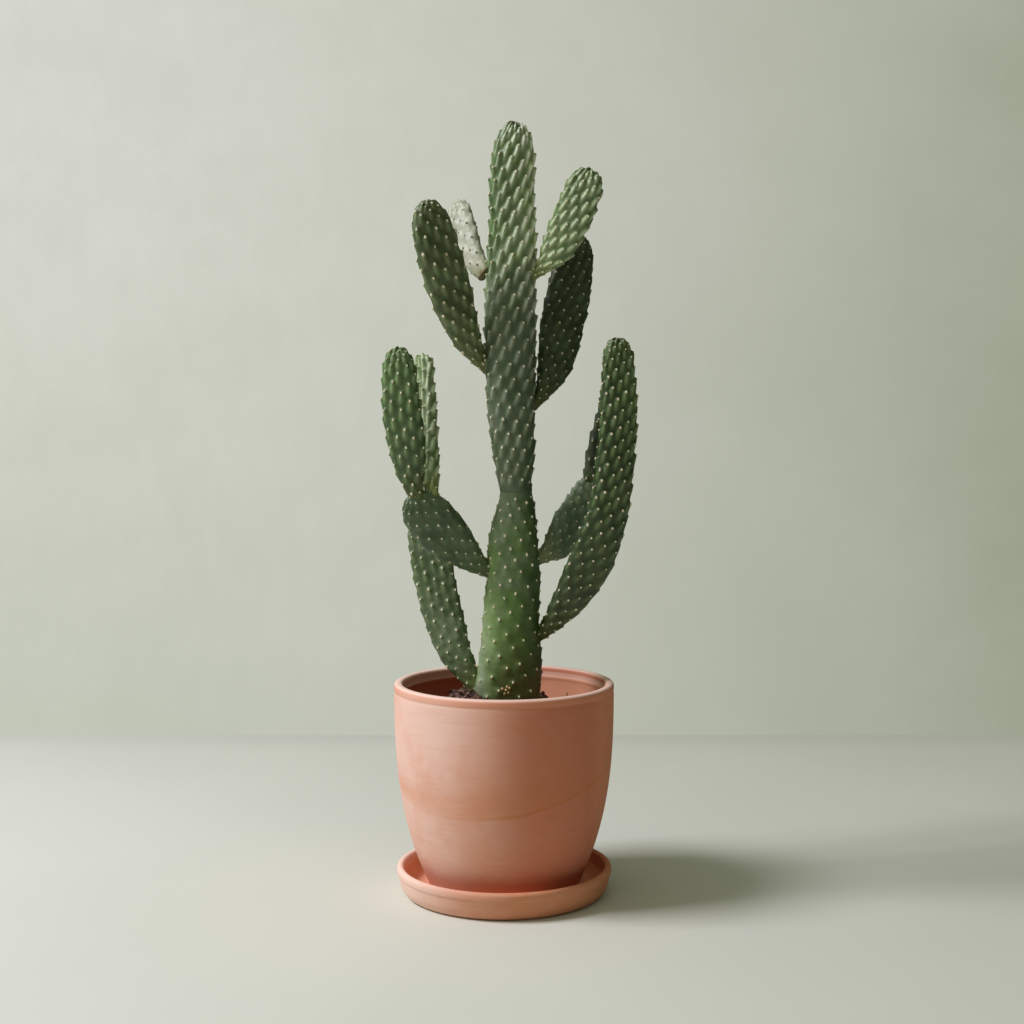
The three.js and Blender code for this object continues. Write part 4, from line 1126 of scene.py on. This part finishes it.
def saucer_material(settings):
    """The saucer's clay: paler on its lit left side as a painted highlight, with an orange gutter."""
    material, w, shader = new_material("saucer_clay")
    place = w.place()
    axes = w.axes(place)
    # Painted highlight: the clay's share of pale grows towards the lit left side
    got = use_group(w, "Fired clay",
                    {"Clay": tuple(settings.saucer), "Pale": tuple(settings.pale), "Iron": (0.52, 0.20, 0.09),
                     "Pale share": w.ramp(axes["X"], 0.02, -0.095, 0.0, 0.95), "Iron share": 0.3})
    gutter = w.times(w.ramp(w.from_axis(place), 0.0920, 0.0905), w.ramp(axes["Z"], 0.0035, 0.0045), 0.85)
    # Painted highlight on the lit left lip
    colour = w.mix(w.ramp(axes["X"], -0.055, -0.090, 0.0, 0.75), got["Colour"], (0.93, 0.69, 0.58))
    colour = w.mix(gutter, colour, (0.84, 0.37, 0.20))
    set_finish(w, shader, colour, got["Roughness"], (got["Height"], 0.45, 0.0005), 0.3)
    return material


def mix_material():
    """Dark potting mix with reddish bark and pale grit."""
    material, w, shader = new_material("potting_mix")
    place = w.place()
    soft = use_group(w, "Mottle", {"Scale": 140.0, "Detail": 6.0})["Mask"]
    chips = w.node("ShaderNodeTexVoronoi", {"Vector": place, "Scale": 380.0}).outputs["Color"]
    tint = w.node("ShaderNodeSeparateColor", {0: chips}).outputs[0]
    colour = w.mix(soft, (0.020, 0.010, 0.008), (0.110, 0.055, 0.038))
    colour = w.mix(w.ramp(tint, 0.60, 0.85, 0.0, 0.75), colour, (0.30, 0.155, 0.105))
    colour = w.mix(w.ramp(tint, 0.93, 0.97, 0.0, 0.8), colour, (0.52, 0.38, 0.30))
    set_finish(w, shader, colour, 0.95, (w.noise(place, 1300.0, 4.0), 0.8, 0.001))
    return material


class CactusSettings(bpy.types.PropertyGroup):
    """Size of the areoles and colour of the cork."""

    areole_size: FloatProperty(
        name="Areole size", description="How large the felt cushions are, against the grown size",
        default=1.0, min=0.2, max=3.0, subtype="FACTOR")
    cork: FloatVectorProperty(
        name="Cork", description="Colour of the corky skin at the joints",
        subtype="COLOR", size=3, min=0, max=1, default=(0.17, 0.095, 0.05))


class PotSettings(bpy.types.PropertyGroup):
    """Colours of the pot and its saucer, their wobble, and the crumbs in the mix."""

    clay: FloatVectorProperty(
        name="Pot clay", description="Main colour of the pot",
        subtype="COLOR", size=3, min=0, max=1, default=(0.74, 0.275, 0.155))
    pale: FloatVectorProperty(
        name="Pale bloom", description="Colour of the pale bloom on the clay",
        subtype="COLOR", size=3, min=0, max=1, default=(0.84, 0.56, 0.46))
    iron: FloatVectorProperty(
        name="Iron", description="Colour of the orange streaks in the pot",
        subtype="COLOR", size=3, min=0, max=1, default=(0.68, 0.25, 0.10))
    saucer: FloatVectorProperty(
        name="Saucer clay", description="Main colour of the saucer",
        subtype="COLOR", size=3, min=0, max=1, default=(0.68, 0.28, 0.145))
    wobble: FloatProperty(
        name="Hand wobble", description="How far the turned wall wanders from a true circle",
        default=0.00018, min=0, max=0.002, unit="LENGTH")
    crumbs: IntProperty(
        name="Crumbs", description="Loose crumbs on the mix", default=1500, min=0, max=6000)


class StageSettings(bpy.types.PropertyGroup):
    """Floor and light."""

    floor: FloatVectorProperty(
        name="Floor", description="Colour of the floor",
        subtype="COLOR", size=3, min=0, max=1, default=(0.68, 0.695, 0.615))
    key: FloatProperty(
        name="Key light", description="Power of the large soft light", default=61.0, min=0, unit="POWER")
    fill: FloatProperty(
        name="Fill", description="Strength of the light from all round", default=0.30, min=0)
    floor_end: FloatProperty(
        name="Floor end", description="Where the floor meets the backdrop", default=0.701, unit="LENGTH")


def grow(names):
    """Builds the skin and the areoles of the named stems."""
    settings = bpy.context.scene.cactus_plant
    made = bpy.data.materials
    felts = {kind: made.get("felt_" + kind) or felt_material("felt_" + kind, *FELTS[kind]) for kind in FELTS}
    bristle = made.get("glochid_bristle") or bristle_material()
    for number, spec in enumerate(STEMS):
        if spec["name"] not in names:
            continue
        stem = Stem({**spec, "areole": spec["areole"] * settings.areole_size}, STEM_SEED + number)
        slot_name = "trunk_skin" if spec["name"].startswith("trunk") else "pad_skin"
        skin = skin_material(spec, tuple(settings.cork))
        stand_for(build_stem(stem, skin), slot_name, spec["name"])
        areoles = build_areoles(stem, felts[spec.get("felt", "tan")], bristle, AREOLE_SEED + number)
        stand_for(areoles, slot_name)


class CACTUS_OT_trunk(bpy.types.Operator):
    """Grow the two trunk segments with their areoles"""

    bl_idname = "paddle_cactus.trunk"
    bl_label = "Add trunk"

    def execute(self, context):
        grow({"trunk_lower", "trunk_upper"})
        return {"FINISHED"}


class CACTUS_OT_pads(bpy.types.Operator):
    """Grow the pads with their areoles"""

    bl_idname = "paddle_cactus.pads"
    bl_label = "Add pads"

    def execute(self, context):
        grow({spec["name"] for spec in STEMS if spec["name"].startswith("pad")})
        return {"FINISHED"}


class CACTUS_OT_pot(bpy.types.Operator):
    """Turn the clay pot"""

    bl_idname = "paddle_cactus.pot"
    bl_label = "Add pot"

    def execute(self, context):
        settings = context.scene.cactus_pot
        piece = lathe("clay_pot", pot_profile(), pot_material(settings), settings.wobble / MM)
        stand_for(piece, "pot_clay", "pot")
        return {"FINISHED"}


class CACTUS_OT_saucer(bpy.types.Operator):
    """Turn the clay saucer"""

    bl_idname = "paddle_cactus.saucer"
    bl_label = "Add saucer"

    def execute(self, context):
        settings = context.scene.cactus_pot
        piece = lathe("clay_saucer", saucer_profile(), saucer_material(settings), settings.wobble / MM)
        stand_for(piece, "saucer_clay", "saucer")
        return {"FINISHED"}


class CACTUS_OT_mix(bpy.types.Operator):
    """Fill the pot with potting mix and strew crumbs on it"""

    bl_idname = "paddle_cactus.mix"
    bl_label = "Add potting mix"

    def execute(self, context):
        material = mix_material()
        stand_for(build_soil(material), "potting_mix", "soil")
        stand_for(build_crumbs(material, context.scene.cactus_pot.crumbs), "potting_mix")
        return {"FINISHED"}


class CACTUS_OT_stage(bpy.types.Operator):
    """Add the floor, the backdrop, the light and the camera"""

    bl_idname = "paddle_cactus.stage"
    bl_label = "Add stage"

    def execute(self, context):
        settings = context.scene.cactus_stage
        context.scene.view_settings.view_transform = "Standard"
        build_floor(settings)
        build_backdrop(settings)
        build_light(settings)
        build_camera()
        return {"FINISHED"}


def build_floor(settings):
    """The plain floor, with painted shade where it meets the backdrop."""
    material, w, shader = new_material("stage_floor")
    soft = use_group(w, "Mottle", {"Scale": 2.2, "Detail": 5.0, "Low": 0.3, "High": 0.7})["Mask"]
    floor = tuple(settings.floor)
    far = settings.floor_end
    colour = w.mix(soft, tuple(0.96 * c for c in floor), floor)
    # Painted shade along the far edge, where the floor meets the backdrop
    painted_edge_shade = w.ramp(w.axes(w.place())["Y"], far - 0.11, far, 0.0, 0.8)
    colour = w.mix(painted_edge_shade, colour, tuple(0.88 * c for c in floor))
    set_finish(w, shader, colour, 0.9, None)
    corners = [(-4, -3, 0), (4, -3, 0), (4, far, 0), (-4, far, 0)]
    mesh_object("stage_floor", corners, [(0, 1, 2, 3)], material, smooth_shade=False)


def build_backdrop(settings):
    """The plain backdrop is the world: painted light falling off into painted shade to the right and at the
    foot, with soft plaster clouds.
    """
    world = bpy.data.worlds.new("backdrop")
    bpy.context.scene.world = world
    world.use_nodes = True
    world.node_tree.nodes.clear()
    w = Wiring(world.node_tree)
    way = w.node("ShaderNodeTexCoord").outputs["Generated"]
    axes = w.axes(way)
    # Painted light on the left falling off to painted shade on the right, and painted shade at the foot
    across = w.ramp(axes["X"], -0.31, 0.31, kind="LINEAR")
    colour = w.mix(w.math("POWER", across, 1.35), WALL_PAINTED_LIT, WALL_PAINTED_SHADE)
    low = w.times(w.ramp(axes["Z"], 0.14, -0.24, kind="LINEAR"), w.ramp(across, 0.0, 0.55, 1.0, 0.35))
    colour = w.mix(low, colour, WALL_PAINTED_FOOT_SHADE, "MULTIPLY")
    clouds = w.noise(way, 5.0, 5.0, 0.6)
    blots = w.noise(w.stretched(way, 1.0, 1.0, 1.3), 17.0, 5.0, 0.65)
    weave = w.noise(w.stretched(way, 1.0, 1.0, 0.35), 90.0, 4.0, 0.6)
    colour = w.mix(w.ramp(clouds, 0.32, 0.68, 0.0, 0.17), colour, WALL_CLOUD)
    colour = w.mix(w.ramp(blots, 0.35, 0.65, 0.10, 0.0), colour, WALL_BLOT)
    colour = w.mix(w.ramp(weave, 0.3, 0.7, 0.0, 0.05), colour, WALL_WEAVE)
    seen = w.node("ShaderNodeBackground", {"Color": colour, "Strength": 1.0})
    toward = w.node("ShaderNodeVectorMath", {0: way, 1: FILL_FROM}, operation="DOT_PRODUCT").outputs["Value"]
    spread = w.ramp(toward, 0.0, 1.0, 0.15, 1.45, kind="LINEAR")
    strength = w.math("MULTIPLY", spread, settings.fill, False)
    lit = w.node("ShaderNodeBackground", {"Color": FILL_TINT, "Strength": strength})
    path = w.node("ShaderNodeLightPath").outputs["Is Camera Ray"]
    joined = w.node("ShaderNodeMixShader", {0: path, 1: lit.outputs[0], 2: seen.outputs[0]})
    w.node("ShaderNodeOutputWorld", {"Surface": joined.outputs[0]})


def build_light(settings):
    """One large soft light from the left, above and a little in front."""
    data = bpy.data.lights.new("key_light", "AREA")
    data.size = KEY_SIZE
    data.energy, data.color = settings.key, KEY_TINT
    light = bpy.data.objects.new("key_light", data)
    light.location = KEY_PLACE
    light.rotation_euler = (Vector(KEY_TARGET) - Vector(KEY_PLACE)).to_track_quat("-Z", "Y").to_euler()
    bpy.context.scene.collection.objects.link(light)


def build_camera():
    """The camera at the photograph's angle."""
    data = bpy.data.cameras.new("photo_view")
    data.lens = FOCAL_PIXELS / IMAGE_SIDE * SENSOR
    data.sensor_width = SENSOR
    camera = bpy.data.objects.new("photo_view", data)
    camera.location = CAMERA_PLACE
    camera.rotation_euler = (math.radians(90 + CAMERA_PITCH), 0, 0)
    bpy.context.scene.collection.objects.link(camera)
    bpy.context.scene.camera = camera


class CACTUS_PT_panel(bpy.types.Panel):
    """The pieces of the potted cactus, in the order in which they are built"""

    bl_label = "Potted paddle cactus"
    bl_idname = "CACTUS_PT_panel"
    bl_space_type = "VIEW_3D"
    bl_region_type = "UI"
    bl_category = "Cactus"

    def draw(self, context):
        for step in STEPS:
            self.layout.operator(step.bl_idname)
        for group in ("cactus_plant", "cactus_pot", "cactus_stage"):
            settings = getattr(context.scene, group)
            box = self.layout.box()
            for name in settings.bl_rna.properties.keys():
                if name not in {"rna_type", "name"}:
                    box.prop(settings, name)


STEPS = (CACTUS_OT_stage, CACTUS_OT_saucer, CACTUS_OT_pot, CACTUS_OT_mix, CACTUS_OT_trunk, CACTUS_OT_pads)
CLASSES = (CactusSettings, PotSettings, StageSettings, *STEPS, CACTUS_PT_panel)


def register():
    for cls in CLASSES:
        bpy.utils.register_class(cls)
    bpy.types.Scene.cactus_plant = PointerProperty(type=CactusSettings)
    bpy.types.Scene.cactus_pot = PointerProperty(type=PotSettings)
    bpy.types.Scene.cactus_stage = PointerProperty(type=StageSettings)


def unregister():
    del bpy.types.Scene.cactus_stage
    del bpy.types.Scene.cactus_pot
    del bpy.types.Scene.cactus_plant
    for cls in reversed(CLASSES):
        bpy.utils.unregister_class(cls)


def main():
    register()
    bpy.ops.paddle_cactus.stage()
    bpy.ops.paddle_cactus.saucer()
    bpy.ops.paddle_cactus.pot()
    bpy.ops.paddle_cactus.mix()
    bpy.ops.paddle_cactus.trunk()
    bpy.ops.paddle_cactus.pads()
    bpy.context.view_layer.update()


if __name__ == "__main__":
    main()
